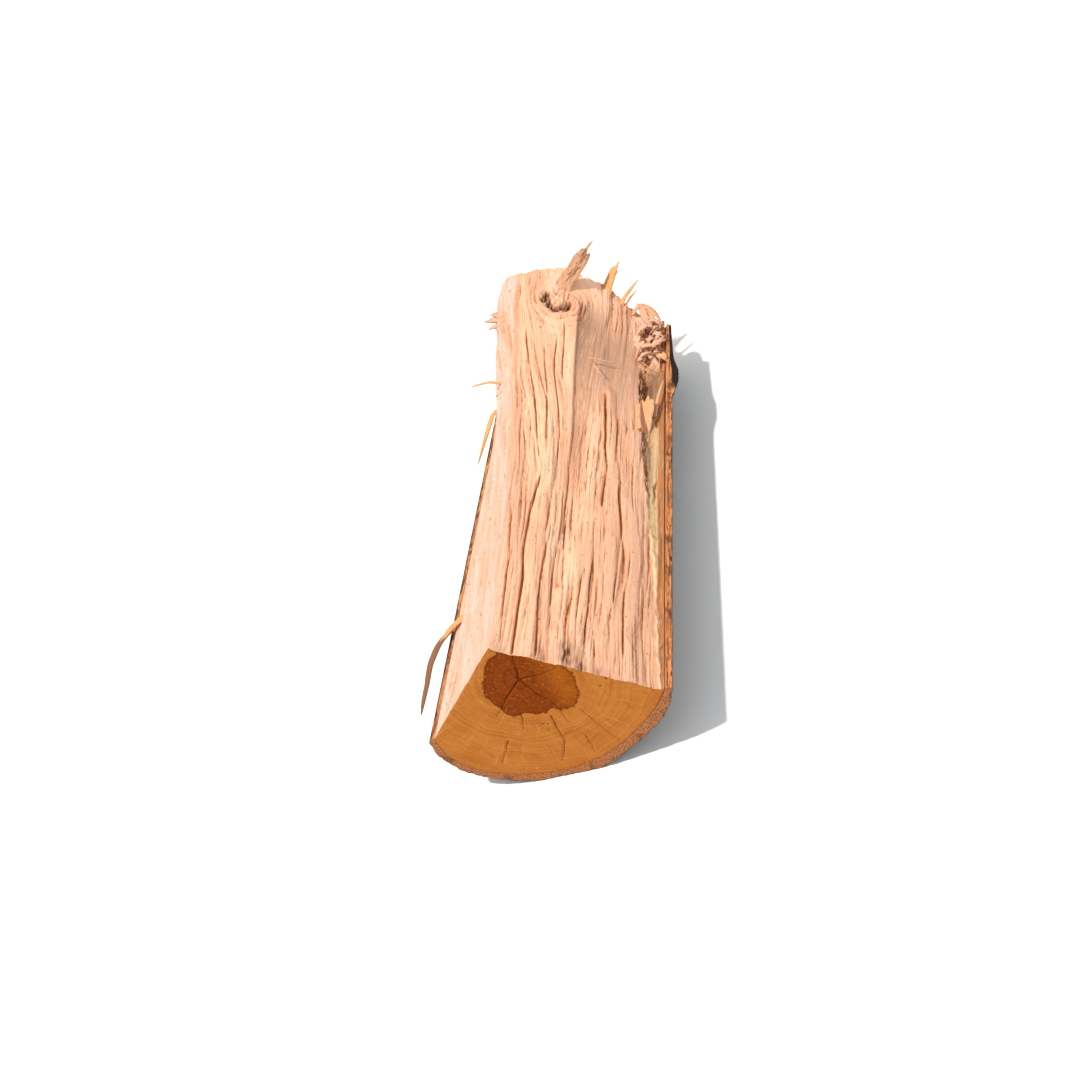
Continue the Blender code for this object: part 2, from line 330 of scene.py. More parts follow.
def knot_relief(across, along):
    """The knot: a broken dark hollow, rough wood inside it, and fibres that swirl below."""
    x, y = across - KNOT_ACROSS, (along - KNOT_ALONG) * 0.8
    turn = np.arctan2(y, x)
    reach = np.hypot(x, y) * (1 + 0.16 * noise(np.cos(turn) * 1.7, np.sin(turn) * 1.7, 210))
    broken = ease(np.cos(turn + 2.0), -0.4, 0.25)
    hollow = np.exp(-((reach - KNOT_SIZE * 0.85) / 2.5) ** 2) * broken
    torn_edge = 0.8 + 0.8 * noise(turn * 2.6, reach / 1.6, 211) + 0.6 * noise(turn * 8, reach / 0.9, 215)
    torn_edge = np.clip(torn_edge, 0, 1.4)
    inner = 1 - ease(reach, KNOT_SIZE * 0.7, KNOT_SIZE)
    relief = -5.0 * hollow * torn_edge - 1.5 * inner * ease(-y, 2, 8)
    relief += 1.3 * inner * noise(x / 2.4, y / 2.0, 212)
    swirl = np.exp(-((reach - KNOT_SIZE * 1.75) / 6.0) ** 2) * ease(np.cos(turn + 1.25), -0.1, 0.5)
    fold = noise(reach / 2.1 + 0.3 * turn, turn * 1.4, 213) + 0.6 * noise(reach / 0.9, turn * 3, 214)
    relief += swirl * (0.9 + 2.3 * fold)
    specks = inner * ease(noise(x / 2.6, y / 1.6, 216), 0.15, 0.6)
    return relief, np.clip(1.9 * hollow * torn_edge + 0.4 * specks, 0, 1), swirl


print(f"the knot is {2 * KNOT_SIZE:.0f} mm across, {LENGTH - KNOT_ALONG:.0f} mm from the far end")

# %% [markdown]
# Now each face adds up its own features. It gives four things for each of its points: how high
# the wood stands, the fibres' course, how dark it is stained, with painted shade in the ledge's
# hollow counted in, and how much shade is painted on it on the smooth plane beyond the crest and
# beside the crest below it. The mesh uses the first, and the finish the others.

# %% The right face
def right_relief(across, along):
    lean = 0.15 * (1 - ease(across, -5, 45)) * np.maximum(along - 160, 0)
    course = fibre_course(around_knot(across, along) + lean, along, 11)
    at_knot, ring, swirl = knot_relief(across, along)
    relief = riven(course, along, 11) * (1 - 0.8 * swirl)
    # The smooth plane beyond the crest, down to a fingered lower edge: its relief is flattened here, and the
    # finish paints shade on it.
    fingers = 238 + 22 * noise(course / 3.4, 0, 77) + 9 * noise(course / 1.2, 0, 78)
    painted_shade_plane = side_of(across, along, CREST_STEP, 2.0) * ease(along, fingers - 3, fingers + 5)
    relief *= 1 - 0.6 * painted_shade_plane
    relief -= 1.2 * painted_shade_plane
    relief -= 1.9 * side_of(across, along, CREST_STEP, 2.2) * (1 - ease(across, 33, 48)) * (1 - painted_shade_plane)
    relief -= 2.6 * seam(across, along, WAVY_CRACK, 1.5)
    for route in UPPER_CRACKS:
        relief -= 1.7 * seam(course - lean, along, route, 1.0)
    for route in FRONT_CRACKS:
        relief -= 1.8 * seam(course, along, route, 1.2)
    relief -= 3.2 * seam(course, along, OPEN_GROOVE, 1.8)
    for route in TONGUES:
        relief += 2.0 * np.sqrt(seam(across, along, route, 5.0))
    relief -= 1.6 * seam(across, along, ((60, 34), (80, 33), (118, 33.5)), 6.0)
    rim = 1.5 * noise(across / 7, along / 9, 88) * ease(along, 372, 395)
    stain = sum(strong * np.exp(-((across - middle) / wide) ** 2 - ((along - place) / 9) ** 2)
                for place, middle, wide, strong in STAINS)
    # Painted shade on the plane, darkest just beyond the crest and towards the far end, and a narrower band
    # of it beside the crest further down.
    beyond = np.maximum(across - smooth(CREST_STEP, along), 0)
    shade = painted_shade_plane * (0.05 + 0.45 * ease(along, 238, 310) + 0.5 * np.exp(-beyond / 14))
    shade_below_plane = side_of(across, along, CREST_STEP, 2.0) * ease(along, 120, 200) * np.exp(-beyond / 7) * 0.6
    shade = np.maximum(shade, shade_below_plane)
    dark = ring + stain * (0.6 + 0.6 * noise(course / 1.5, along / 6, 89))
    return relief + at_knot + rim, course, dark, shade


print(f"its relief spans {np.ptp(right_relief(*np.mgrid[0:90:100j, 0:400:200j])[0]):.0f} mm")

# %% The left face and the ledge
def left_relief(across, along):
    course = fibre_course(across + 0.10 * np.maximum(along - 150, 0), along, 47)
    relief = 0.9 * riven(course, along, 47)
    for route in LEFT_CRACKS:
        relief -= 2.6 * seam(course, along, route, 1.2)
    pits = ease(noise(across / 3.5, along / 8, 95), 0.52, 0.70) * ease(along, 100, 220)
    relief -= 1.6 * pits
    return relief, course, 0.25 * pits, np.zeros_like(relief)


def ledge_relief(across, along):
    course = fibre_course(across, along, 83)
    relief = 0.6 * riven(course, along, 83) - 1.5 * ease(noise(across / 7, along / 16, 90), 0.15, 0.5)
    rags = 2.2 * noise(across / 4, along / 7, 91) + 1.1 * noise(across / 1.7, along / 3.5, 92)
    relief += ease(along, 308, 325) * rags
    # A hollow under the crown: it is sunk, and its share in the third value darkens the ledge with painted
    # shade.
    hollow = ease(along, 262, 285) * (1 - ease(along, 306, 316)) * (1 - ease(across, 80, 90))
    return relief - 2.0 * hollow, course, 0.6 * hollow, np.zeros_like(relief)


print(f"the ledge is up to {max(depth for along, depth in LEDGE_DEPTH):.0f} mm below the right face")

# %% [markdown]
# ## The wood as one closed mesh
# The billet could be a displaced cube, but its corners and its ledge would then cut across the
# faces. A loft is better: each row of points is the outline at one place along the log, and
# each column follows one line from end to end, so that the ridge and the edges stay crisp.
# The outline runs clockwise through five zones: left face, right face, the step down from it,
# the ledge, and the round side under the bark.

# %% Rows and columns of the loft
ROW_STEP = 1.6
rows = np.concatenate([[0, 0.4, 0.9], np.arange(1.6, LENGTH - 9, ROW_STEP), LENGTH - np.array(
    [8.6, 7.6, 6.6, 5.6, 4.7, 3.8, 3.0, 2.3, 1.7, 1.2, 0.8, 0.45, 0.2, 0.05, 0])])[:, None]
columns = {"left": 150, "right": 236, "step": 8, "ledge": 30, "round": 52}
LEFT, RIGHT, STEP, LEDGE, ROUND = range(len(columns))
LEFT_START, LEFT_RUN = (-63.3, -28.0), np.array([58.3, 54.2]) / 79.6  # each face's edge and direction,
RIGHT_START, RIGHT_RUN = (-5.0, 26.2), np.array([72.2, -55.8]) / 91.2  # from which `across` is measured


def wood_zones(along):
    """The outline of the wood, zone by zone: its points, and the place of each across the grain."""
    left, ridge, right = corners(along)
    ragged = 0.011 * noise(along / 11, 0, 170) + 0.006 * noise(along / 4, 0, 171) - 0.010
    edge, depth = smooth(LEDGE_START, along) + ragged * ease(along, 2, 20), smooth(LEDGE_DEPTH, along)
    share = {zone: np.arange(n)[None, :] / n for zone, n in columns.items()}
    brink = right_face(along, edge)
    foot = raised(ridge, right, edge + 0.012, -depth)
    zones = {"left": left_face(along, share["left"]), "right": right_face(along, share["right"] * edge)}
    zones["step"] = brink + (foot - brink) * share["step"][..., None]
    zones["ledge"] = foot + (right - foot) * share["ledge"][..., None]
    start = np.degrees(np.arctan2(right[..., 1], right[..., 0]))
    end = np.degrees(np.arctan2(left[..., 1], left[..., 0]))
    end = np.where(end > 0, end - 360, end)
    turn = start + (end - start) * share["round"]
    extra = ((np.linalg.norm(right, axis=-1) - smooth(WOOD_RADIUS, start)) * (1 - share["round"]) ** 4
             + (np.linalg.norm(left, axis=-1) - smooth(WOOD_RADIUS, end)) * share["round"] ** 6)
    zones["round"] = polar(WOOD_RADIUS, turn, extra)
    return zones


def outward(section):
    """The unit normal of each point of closed outlines that run clockwise."""
    run = np.roll(section, -1, axis=1) - np.roll(section, 1, axis=1)
    off = np.stack([-run[..., 1], run[..., 0]], axis=-1)
    return off / np.maximum(np.linalg.norm(off, axis=-1, keepdims=True), 1e-9)


zones = wood_zones(rows)
macro = np.concatenate([zones[name] for name in columns], axis=1)
zone_id = np.concatenate([np.full(n, i) for i, n in enumerate(columns.values())])
print(f"the wood's loft has {macro.shape[0]} rows of {macro.shape[1]} points")

# %% [markdown]
# The CAD faces run along the tops of the ridges, so the relief may only go inwards from them. A
# Displace modifier would push every point by its own normal, and on a rough face neighbours
# would cross. So the depth is worked out first, no more than the wood has room for beside its
# edges, and the normals of the smooth outline carry it. The step takes its depth from the face
# above it and the ledge below it.

# %% Sink the relief below the CAD faces
def sunk(relief, room):
    """Relief with its peaks pressed flatter, so that they touch zero, and never deeper than room."""
    high = np.quantile(relief, 0.9)
    relief = np.where(relief > high, high + 0.25 * (relief - high), relief)
    return -np.minimum(relief.max() - relief, room)


relief, course, stain_and_shade_map, painted_shade_plane = (np.zeros(macro.shape[:2]) for _ in range(4))
sources = {"left": (left_relief, LEFT_START, LEFT_RUN), "right": (right_relief, RIGHT_START, RIGHT_RUN),
           "step": (ledge_relief, RIGHT_START, RIGHT_RUN), "ledge": (ledge_relief, RIGHT_START, RIGHT_RUN)}
for i, name in enumerate(columns):
    if name in sources:
        relief_of, origin, run = sources[name]
        across = (zones[name] - origin) @ run
        here = zone_id == i
        relief[:, here], course[:, here], stain_and_shade_map[:, here], painted_shade_plane[:, here] = relief_of(
            across, np.broadcast_to(rows, across.shape))

left_n = columns["left"]
gap = np.linalg.norm(np.roll(macro, -1, axis=1) - macro, axis=-1)
walked = np.cumsum(gap, axis=1) - gap
corner_n = int((zone_id < ROUND).sum())
to_ridge = np.abs(walked - walked[:, left_n:left_n + 1])
to_corner = np.abs(walked - walked[:, corner_n:corner_n + 1])
room = 0.1 + 0.7 * np.minimum(np.minimum(to_ridge + 2.5 * ease(rows, 0, 12), walked), to_corner)
room = room * (1 - 0.7 * ease(rows, LENGTH - 9, LENGTH - 2))
depth = np.zeros_like(relief)
for i in (LEFT, RIGHT, LEDGE):
    here = zone_id == i
    depth[:, here] = sunk(relief[:, here], room[:, here])
step = np.flatnonzero(zone_id == STEP)
down = (np.arange(len(step)) + 1) / (len(step) + 1)
depth[:, step] = depth[:, step[0] - 1, None] * (1 - down) + depth[:, step[-1] + 1, None] * down
at_ridge = (depth[:, left_n - 1:left_n] + depth[:, left_n:left_n + 1]) / 2
depth += (at_ridge - depth) * np.exp(-(to_ridge / 1.0) ** 2) * (zone_id < STEP)
print(f"the relief has {relief.size} points, sunk by {-depth.mean():.1f} mm on average")

# %% [markdown]
# A log that was split and thrown has no sharp far rim, and its ridge is blunt. A bevel would
# round everything alike, so the points there are pulled towards the middle of the log instead,
# by an amount that noise varies. The saw left the near rim crisp, with only a few chips.

# %% Round the far end and the ridge
ROUNDED = 10.0  # how wide the worn far rim is
split = zone_id < ROUND
near_end = np.clip((rows - (LENGTH - ROUNDED)) / ROUNDED, 0, 1)
worn = ROUNDED * (1 - np.sqrt(1 - near_end**2 * 0.98)) * (0.26 + 0.3 * noise(walked / 14, rows / 30, 5))
worn = worn * split * np.minimum(np.minimum(walked, to_corner) / 10, 1)
bumps = np.maximum(0.7 + 2.2 * noise(walked / 8, rows / 14, 10) + 1.3 * noise(walked / 3.5, rows / 6, 11), 0)
worn = worn + bumps * split * near_end * np.minimum(np.minimum(walked, to_corner) / 12, 1)
soft = 0.5 + 4.0 * ease(rows, 180, 330)
worn = worn + soft * np.exp(-(to_ridge / (2.2 * soft)) ** 2) * ease(rows, 0, 6)
MIDDLE = np.array([-2.0, -18.0])  # of the section, from the pith
over_ridge = np.exp(-(to_ridge / 9.0) ** 2)[..., None]
from_middle = macro - MIDDLE
rays = from_middle / np.linalg.norm(from_middle, axis=-1, keepdims=True)
normals = outward(macro) * (1 - over_ridge) + rays * over_ridge
normals[:, (zone_id == STEP) | (zone_id == LEDGE)] = (-RIGHT_RUN[1], RIGHT_RUN[0])
macro = MIDDLE + from_middle * (1 - worn / np.linalg.norm(from_middle, axis=-1))[..., None]

chips = 0.6 * ease(noise(course / 4, rows / 9, 6), 0.25, 0.7) * np.exp(-rows / 1.0) * split
calm = np.where(zone_id == LEFT, 0.85 * np.exp(-rows / 5), 0.5 * np.exp(-rows / 3))
depth = np.maximum(depth * (1 - calm) - chips * (zone_id > LEFT), -room)
ridge_sway = 0.9 * noise(rows / 46, 0, 31) + 0.5 * noise(rows / 17, 0, 32)
wander = point(ridge_sway, -0.8 - 0.8 * noise(rows / 31, 0, 33))
near_ridge = np.exp(-(to_ridge / 7.0) ** 2) * ease(rows, 0, 12)
wood_section = macro + normals * depth[..., None] + wander * near_ridge[..., None]
lumps = 2.6 * np.abs(noise(walked / 7, 0, 8)) + 1.3 * np.abs(noise(walked / 2.4, 0, 9))
wood_along = rows * far_end(macro[..., 0]) / LENGTH - lumps * ease(rows, LENGTH - 14, LENGTH)
print(f"the relief is up to {-depth.min():.1f} mm deep")

# %% How much each point lies in a groove
def groove_of(depth):
    """0 on open ground and 1 in a narrow groove: the depth below the mean of the places beside."""
    beside = sum(np.roll(depth, step, axis=1) for step in range(-5, 6)) / 11
    return np.clip((beside - depth) / 0.75, 0, 1)


groove_shade = groove_of(depth) * split
print(f"{(groove_shade > 0.5).mean():.0%} of the points lie in grooves")

# %% [markdown]
# ## Filling the ends
# The ends are flat, but the outline round them is ragged, and checks and holes need points of
# their own. One many-sided face can't hold those, and the squares of a grid wouldn't meet the
# outline. A Delaunay net joins any points into well-shaped triangles, so it takes the outline,
# a loosened grid and the extra points together.

# %% Net for an end
def inside(points, outline):
    """Which points lie within a closed outline, by counting the edges to their right."""
    a, b = outline, np.roll(outline, -1, axis=0)
    x, y = points[:, None, 0], points[:, None, 1]
    spans = (a[:, 1] > y) != (b[:, 1] > y)
    rise = np.where(b[:, 1] == a[:, 1], 1e-9, b[:, 1] - a[:, 1])
    crosses = x < (b[:, 0] - a[:, 0]) * (y - a[:, 1]) / rise + a[:, 0]
    return (spans & crosses).sum(axis=1) % 2 == 1


def clear_of(points, others, distance):
    """Which points are at least that far from all the others."""
    near = [np.hypot(*(others - p).T).min() > distance for p in points]
    return np.array(near, bool)


def net(outline, spacing, extra, seed):
    """Points and triangles that fill an outline, finer where extra points are given."""
    rng = np.random.default_rng(seed)
    low, high = outline.min(axis=0), outline.max(axis=0)
    xs, ys = np.meshgrid(np.arange(low[0], high[0], spacing), np.arange(low[1], high[1], spacing))
    grid = np.stack([xs.ravel(), ys.ravel()], axis=-1)
    grid += rng.uniform(-0.3, 0.3, grid.shape) * spacing
    if len(extra):
        extra = extra[inside(extra, outline)]
        extra = extra[clear_of(extra, outline, 0.25)]
        grid = grid[clear_of(grid, extra, spacing * 0.5)]
    grid = grid[inside(grid, outline)]
    grid = grid[clear_of(grid, outline, spacing * 0.35)]
    every = np.concatenate([outline, grid, extra]) if len(extra) else np.concatenate([outline, grid])
    loop = [(i, (i + 1) % len(outline)) for i in range(len(outline))]
    made = delaunay_2d_cdt([Vector(p) for p in every], loop, [], 1, 1e-7)
    if not all(made[3]):
        raise ValueError("an outline crosses itself")
    source = [ids[0] for ids in made[3]]
    return every, np.array([[source[i] if i < len(source) else i for i in face] for face in made[2]])


square = np.array([(0, 0), (0, 10), (10, 10), (10, 0.0)])
print(f"a square of 10 mm gets {len(net(square, 2, [], 1)[1])} triangles")

# %% [markdown]
# One helper turns arrays into an object, and another stores a number for each vertex. Such a
# number travels with the mesh as an attribute, and a material can read it by its name, which
# ties the painted grain to the carved one better than any unwrapped picture could.

# %% Meshes from arrays
def mesh_object(name, points, faces, smooth_angle=None):
    """An object from points in metres and faces of 3 or 4 corners."""
    mesh = bpy.data.meshes.new(name)
    mesh.from_pydata(points.reshape(-1, 3).tolist(), [], [tuple(map(int, f)) for f in faces])
    mesh.validate()
    mesh.shade_smooth()
    if smooth_angle:
        mesh.set_sharp_from_angle(angle=math.radians(smooth_angle))
    made = bpy.data.objects.new(name, mesh)
    bpy.context.scene.collection.objects.link(made)
    return made


def note(obj, name, values):
    """Stores a number or a vector for each vertex, for the material to read."""
    values = np.asarray(values, np.float32)
    kind, key = ("FLOAT_VECTOR", "vector") if values.ndim == 2 else ("FLOAT", "value")
    obj.data.attributes.new(name, kind, "POINT").data.foreach_set(key, values.ravel())


def ring_quads(row_count, ring):
    """Quads between rows of closed rings, facing out when the rings run clockwise."""
    i, j = np.meshgrid(np.arange(row_count - 1), np.arange(ring), indexing="ij")
    k = (j + 1) % ring
    four = (i * ring + j, i * ring + k, (i + 1) * ring + k, (i + 1) * ring + j)
    return np.stack(four, axis=-1).reshape(-1, 4)


print(f"the wood's loft will have {len(ring_quads(len(rows), macro.shape[1]))} quads")

# %% [markdown]
# ## The sawn end
# The near end is one flat saw cut. What gives it life is that it has dried: checks have opened
# from the pith outwards, along the rays. They could be painted, but a crack catches light and
# shade, so the net of the end gets rows of extra points along each check and the middle row is
# pushed into the wood. Two borer holes and a few small specks are pushed in the same way, and
# the finish darkens them all with painted shade as well.

# %% Checks and holes of the sawn end
CHECKS = (((0, 0), (1.5, 6.0), (3.2, 14.5), (5.3, 21.5)), ((0, 0), (5.0, 0.6), (11.4, 0.2), (23.8, 2.2)),
          ((0, 0), (4.5, -12.2), (9.9, -22.6), (11.6, -38)),
          ((0, 0), (-6, -5), (-11.8, -10.5), (-22.5, -21.6)),
          ((0, 0), (-1.2, 4.5), (-2.1, 8.1)), ((21.2, -30.9), (26, -46), (31.4, -61)),
          ((4.2, -32.2), (3.3, -52), (-4.1, -66)), ((-26, -42.5), (-31, -50), (-36.5, -58)),
          ((-10.2, -25.9), (-13.6, -36.5)), ((15.7, -51.2), (15.5, -64)))
CHECK_WIDTHS = (0.45, 0.42, 0.5, 0.48, 0.4, 0.33, 0.42, 0.3, 0.28, 0.28)
HOLES = ((42.4, -13.1, 0.8), (37.7, -17.3, 0.65), (-2.0, -35.0, 0.6), (0.6, -35.6, 0.5), (-1.1, -40.2, 0.5))


def wavy_line(stops, step, sway, seed):
    """Points every step along a line through stops that sways a little to both sides."""
    stops = np.array(stops, float)
    reach = np.concatenate([[0], np.cumsum(np.linalg.norm(np.diff(stops, axis=0), axis=1))])
    at = np.arange(0, reach[-1], step)
    line = np.stack([np.interp(at, reach, stops[:, 0]), np.interp(at, reach, stops[:, 1])], axis=-1)
    run = np.gradient(line, axis=0)
    run /= np.linalg.norm(run, axis=1, keepdims=True)
    off = np.stack([-run[:, 1], run[:, 0]], axis=-1)
    swing = sway * (noise(at / 5, 0, seed) + 0.5 * noise(at / 2, 0, seed + 1)) * np.minimum(at / 4, 1)
    return line + off * swing[:, None], off, at / reach[-1]


def end_cracks(widen, seed):
    """Extra points for the net of an end, and how deep each lies, for checks and holes."""
    points, depths = [], []
    for k, (stops, width) in enumerate(zip(CHECKS, CHECK_WIDTHS)):
        line, off, done = wavy_line(stops, 0.8, 0.45, seed + 3 * k)
        taper = widen * width * (1 - 0.8 * done)
        for sideways, deep in ((-1, 0), (0, 1), (1, 0)):
            points.append(line + off * (sideways * taper)[:, None])
            depths.append(deep * (0.4 + 2.2 * taper))
    for x, z, radius in HOLES:
        turn = np.arange(8) * np.pi / 4
        points += [np.array([[x, z]]), np.array([x, z]) + radius * point(np.cos(turn), np.sin(turn))]
        depths += [np.array([2.5]), np.zeros(8)]
    return np.concatenate(points), np.concatenate(depths)


def end_net(outline, spacing, cracks, seed):
    """A filled end: its points, its triangles, and how deep each point is sunk into the wood."""
    extra, sunk_by = cracks
    every, faces = net(outline, spacing, extra, seed)
    sink = np.zeros(len(every))
    for i in range(len(outline), len(every)):
        hit = np.abs(extra - every[i]).max(axis=1) < 1e-6
        if hit.any():
            sink[i] = sunk_by[hit].max()
    return every, faces, sink


near = end_net(wood_section[0], 1.5, end_cracks(1.0, 7), 1)
far = end_net(wood_section[-1], 2.2, end_cracks(1.6, 70), 2)
print(f"the sawn end has {len(near[1])} triangles, the far end {len(far[1])}")

# %% [markdown]
# Loft and ends become one closed mesh. Each vertex also keeps where it sits in the grain and
# how deep it is sunk, because the materials need both: fibres are drawn along the grain, and
# shade is painted into the hollows, warmer and darker than the tops of the ridges.

# %% The billet of wood
ring = wood_section.shape[1]
loft_points = world(wood_section, wood_along)
front_new = near[0][ring:]
back_new = far[0][ring:]
front_points = world(front_new, near[2][ring:])
back_along = rows[-1] * far_end(back_new[:, 0]) / LENGTH - far[2][ring:]
back_along = back_along - 0.8 * np.abs(noise(back_new[:, 0] / 5, back_new[:, 1] / 3, 61))
back_points = world(back_new, back_along)
points = np.concatenate([loft_points.reshape(-1, 3), front_points, back_points])
quads = ring_quads(len(rows), ring)
first_back = (len(rows) - 1) * ring
front_ids = np.concatenate([np.arange(ring), len(rows) * ring + np.arange(len(front_new))])
first_inside = len(rows) * ring + len(front_new)
back_ids = np.concatenate([first_back + np.arange(ring), first_inside + np.arange(len(back_new))])


def facing(triangles, every, anticlockwise):
    """Triangles turned so that they all run the wanted way round in the section."""
    a, b, c = (every[triangles[:, i]] for i in range(3))
    turn = (b[:, 0] - a[:, 0]) * (c[:, 1] - a[:, 1]) - (b[:, 1] - a[:, 1]) * (c[:, 0] - a[:, 0])
    wrong = (turn > 0) != anticlockwise
    triangles[wrong] = triangles[wrong][:, ::-1]
    return triangles


front_faces = front_ids[facing(near[1], near[0], True)]
back_faces = back_ids[facing(far[1], far[0], False)]
wood = mesh_object("riven_billet", points, [*quads, *front_faces, *back_faces])
in_loft = wood_along.size


def over_wood(values, width=1):
    """Values of the loft's points, and zeros for the points inside the ends."""
    whole = np.zeros((len(points), width))
    whole[:in_loft] = values.reshape(-1, width)
    return whole.squeeze()


# The hollow value is painted shade: in the grooves of the faces and in the checks and holes of the ends.
hollow = over_wood(groove_shade)
hollow[in_loft:] = np.clip(np.concatenate([near[2][ring:], far[2][ring:]]) / 1.2, 0, 1)
note(wood, "grain", over_wood(np.stack(np.broadcast_arrays(course, rows, zone_id), axis=-1), 3))
note(wood, "hollow", hollow)
note(wood, "stain_and_shade", over_wood(stain_and_shade_map))
note(wood, "painted_shade_plane", over_wood(painted_shade_plane))
loft_faces = (len(rows) - 1) * ring
slot_of_face = np.zeros(len(wood.data.polygons), np.int32)
slot_of_face[loft_faces:] = 1
slot_of_face[loft_faces + len(front_faces):] = 2
wood.data.polygons.foreach_set("material_index", slot_of_face)
print(f"{wood.name}: {len(wood.data.polygons)} faces")

# %% [markdown]
# ## Bark
# Bark is a sheet of its own, cracked into long corky plates that join and part again. Blender
# could displace a plain shell with a cell texture, but then the furrows would run straight
# through the broken edges. As with the wood, a loft keeps outside, inside and edges apart, and
# the furrows come from noise stretched along the trunk, folded so that its zero lines are deep.

# %% The bark's loft
def bark_furrows(around, along):
    """How deep the bark lies below its plates, in mm, and how much of a furrow each place is."""
    sway = 3.5 * noise(around / 26, along / 40, 120) + 1.2 * noise(around / 9, along / 16, 121)
    plate = np.abs(noise((around + sway) / 9.5, along / 34, 122))
    cross = np.abs(noise((around + sway) / 16, along / 13, 123))
    furrow = np.clip(1 - plate / 0.30, 0, 1) ** 1.3
    furrow = np.maximum(furrow, 0.75 * np.clip(1 - cross / 0.13, 0, 1) * ease(plate, 0.15, 0.5))
    flakes = terrace(1.4 * noise(around / 4.2, along / 9, 124), 0.5, 0.3)
    flakes += 0.35 * noise(around / 1.6, along / 3.2, 125)
    return 3.2 * furrow + 0.55 * np.clip(1.1 - flakes, 0, 3), furrow


def bark_end(x):
    """How far along the bark reaches at x: it tore off shorter at the right."""
    return far_end(x) - 14 * ease(x, 58, 71)


BARK_ROWS = np.concatenate([[0, 0.5, 1.1], np.arange(1.8, LENGTH - 3, 1.7),
                            [LENGTH - 2, LENGTH - 1, LENGTH]])[:, None]
OUTER, EDGE, INNER = 200, 14, 44  # points across the outside, each broken edge and the inside
BARK_CLEAR = 0.3  # the crack between bark and wood
outer_turn = RIGHT_EDGE_ANGLE + (LEFT_EDGE_ANGLE - RIGHT_EDGE_ANGLE) * np.linspace(0, 1, OUTER)[None, :]
lump = smooth(BARK_LUMP, BARK_ROWS) * np.clip(1 + (outer_turn - RIGHT_EDGE_ANGLE) / 38, 0, 1)
outer = polar(BARK_RADIUS, outer_turn, lump)
outer[..., 1] = np.maximum(outer[..., 1], -STRIP_DROP)
outer[..., 0] = np.minimum(outer[..., 0], bark_high.x / MM - PITH[0] - 0.1)
around, bark_at = np.broadcast_arrays(np.radians(-outer_turn) * 78, BARK_ROWS)
furrows, furrow_mask = bark_furrows(around, bark_at)
at_edge = np.minimum(outer_turn - LEFT_EDGE_ANGLE, RIGHT_EDGE_ANGLE - outer_turn)
furrows = np.minimum(furrows, 3.8) * np.clip(0.05 + at_edge / 4.5, 0, 1)
furrows = furrows * (0.3 + 0.7 * ease(BARK_ROWS, 0, 14))
outer = outer * (1 - furrows / np.linalg.norm(outer, axis=-1))[..., None]
inner_turn = outer_turn[:, np.linspace(OUTER - 1, 0, INNER).astype(int)]
inner = polar(WOOD_RADIUS, inner_turn, BARK_CLEAR)
inner = np.broadcast_to(inner, (len(BARK_ROWS), INNER, 2))
share = (np.arange(1, EDGE + 1) / (EDGE + 1))[None, :, None]
left_edge = outer[:, -1:] + (inner[:, :1] - outer[:, -1:]) * share
right_edge = inner[:, -1:] + (outer[:, :1] - inner[:, -1:]) * share
through = share[..., 0]
ragged = sum(tall * noise(through * fine, BARK_ROWS / run, seed)
             for tall, fine, run, seed in ((1.3, 2.4, 4.5, 131), (1.0, 4, 13, 132), (0.6, 8, 2.6, 133)))
ragged = ragged + terrace(noise(through * 5, BARK_ROWS / 30, 134), 0.5)
lift = 0.8 * np.minimum(ragged - 1.2, -0.1) * np.sin(through * np.pi) ** 1.2 * ease(BARK_ROWS, 0, 5)
lift = lift * (1 - 0.8 * ease(BARK_ROWS, LENGTH - 6, LENGTH - 1))
left_edge = left_edge + lift[..., None] * np.array([-0.1, 1.0])
right_edge = right_edge + lift[..., None] * np.array([0.1, 1.0])
bark_section = np.concatenate([outer, left_edge, inner, right_edge], axis=1)
bark_along = BARK_ROWS * bark_end(bark_section[..., 0]) / LENGTH
print(f"the bark's loft has {len(BARK_ROWS)} rows of {bark_section.shape[1]} points")

# %% The sheet of bark
count = bark_section.shape[1]
bark_front, bark_back = (net(bark_section[i], 1.1, np.zeros((0, 2)), 3 + i) for i in (0, -1))
bark_points = world(bark_section, bark_along).reshape(-1, 3)
front_new, back_new = bark_front[0][count:], bark_back[0][count:]
back_along = bark_end(back_new[:, 0])
bark_all = np.concatenate([bark_points, world(front_new, np.zeros(len(front_new))),
                           world(back_new, back_along)])
base = len(bark_points)
front_ids = np.concatenate([np.arange(count), base + np.arange(len(front_new))])
back_ids = np.concatenate([base - count + np.arange(count), base + len(front_new) + np.arange(len(back_new))])
bark_faces = [*ring_quads(len(BARK_ROWS), count), *front_ids[facing(bark_front[1], bark_front[0], True)],
              *back_ids[facing(bark_back[1], bark_back[0], False)]]
bark = mesh_object("bark_sheet", bark_all, bark_faces)
furrow_all = np.zeros((len(BARK_ROWS), count))
furrow_all[:, :OUTER] = furrow_mask
skin = np.zeros((len(BARK_ROWS), count))
skin[:, :OUTER] = 1
crust = through + 0.22 * noise(BARK_ROWS / 9, through * 2, 140)
skin[:, -EDGE:] = ease(crust, 0.72, 0.86)
skin[:, OUTER:OUTER + EDGE] = ease(crust[:, ::-1], 0.72, 0.86)
charred = ease(BARK_ROWS + 6 * noise(through * 3, BARK_ROWS / 7, 141), 298, 318) * ease(through, 0.2, 0.5)
skin[:, -EDGE:] = np.maximum(skin[:, -EDGE:], charred)
furrow_all[:, -EDGE:] = charred
for name, values in (("furrow", furrow_all), ("skin", skin)):
    note(bark, name, np.concatenate([values.ravel(), np.zeros(len(bark_all) - base)]))
print(f"{bark.name}: {len(bark.data.polygons)} faces")

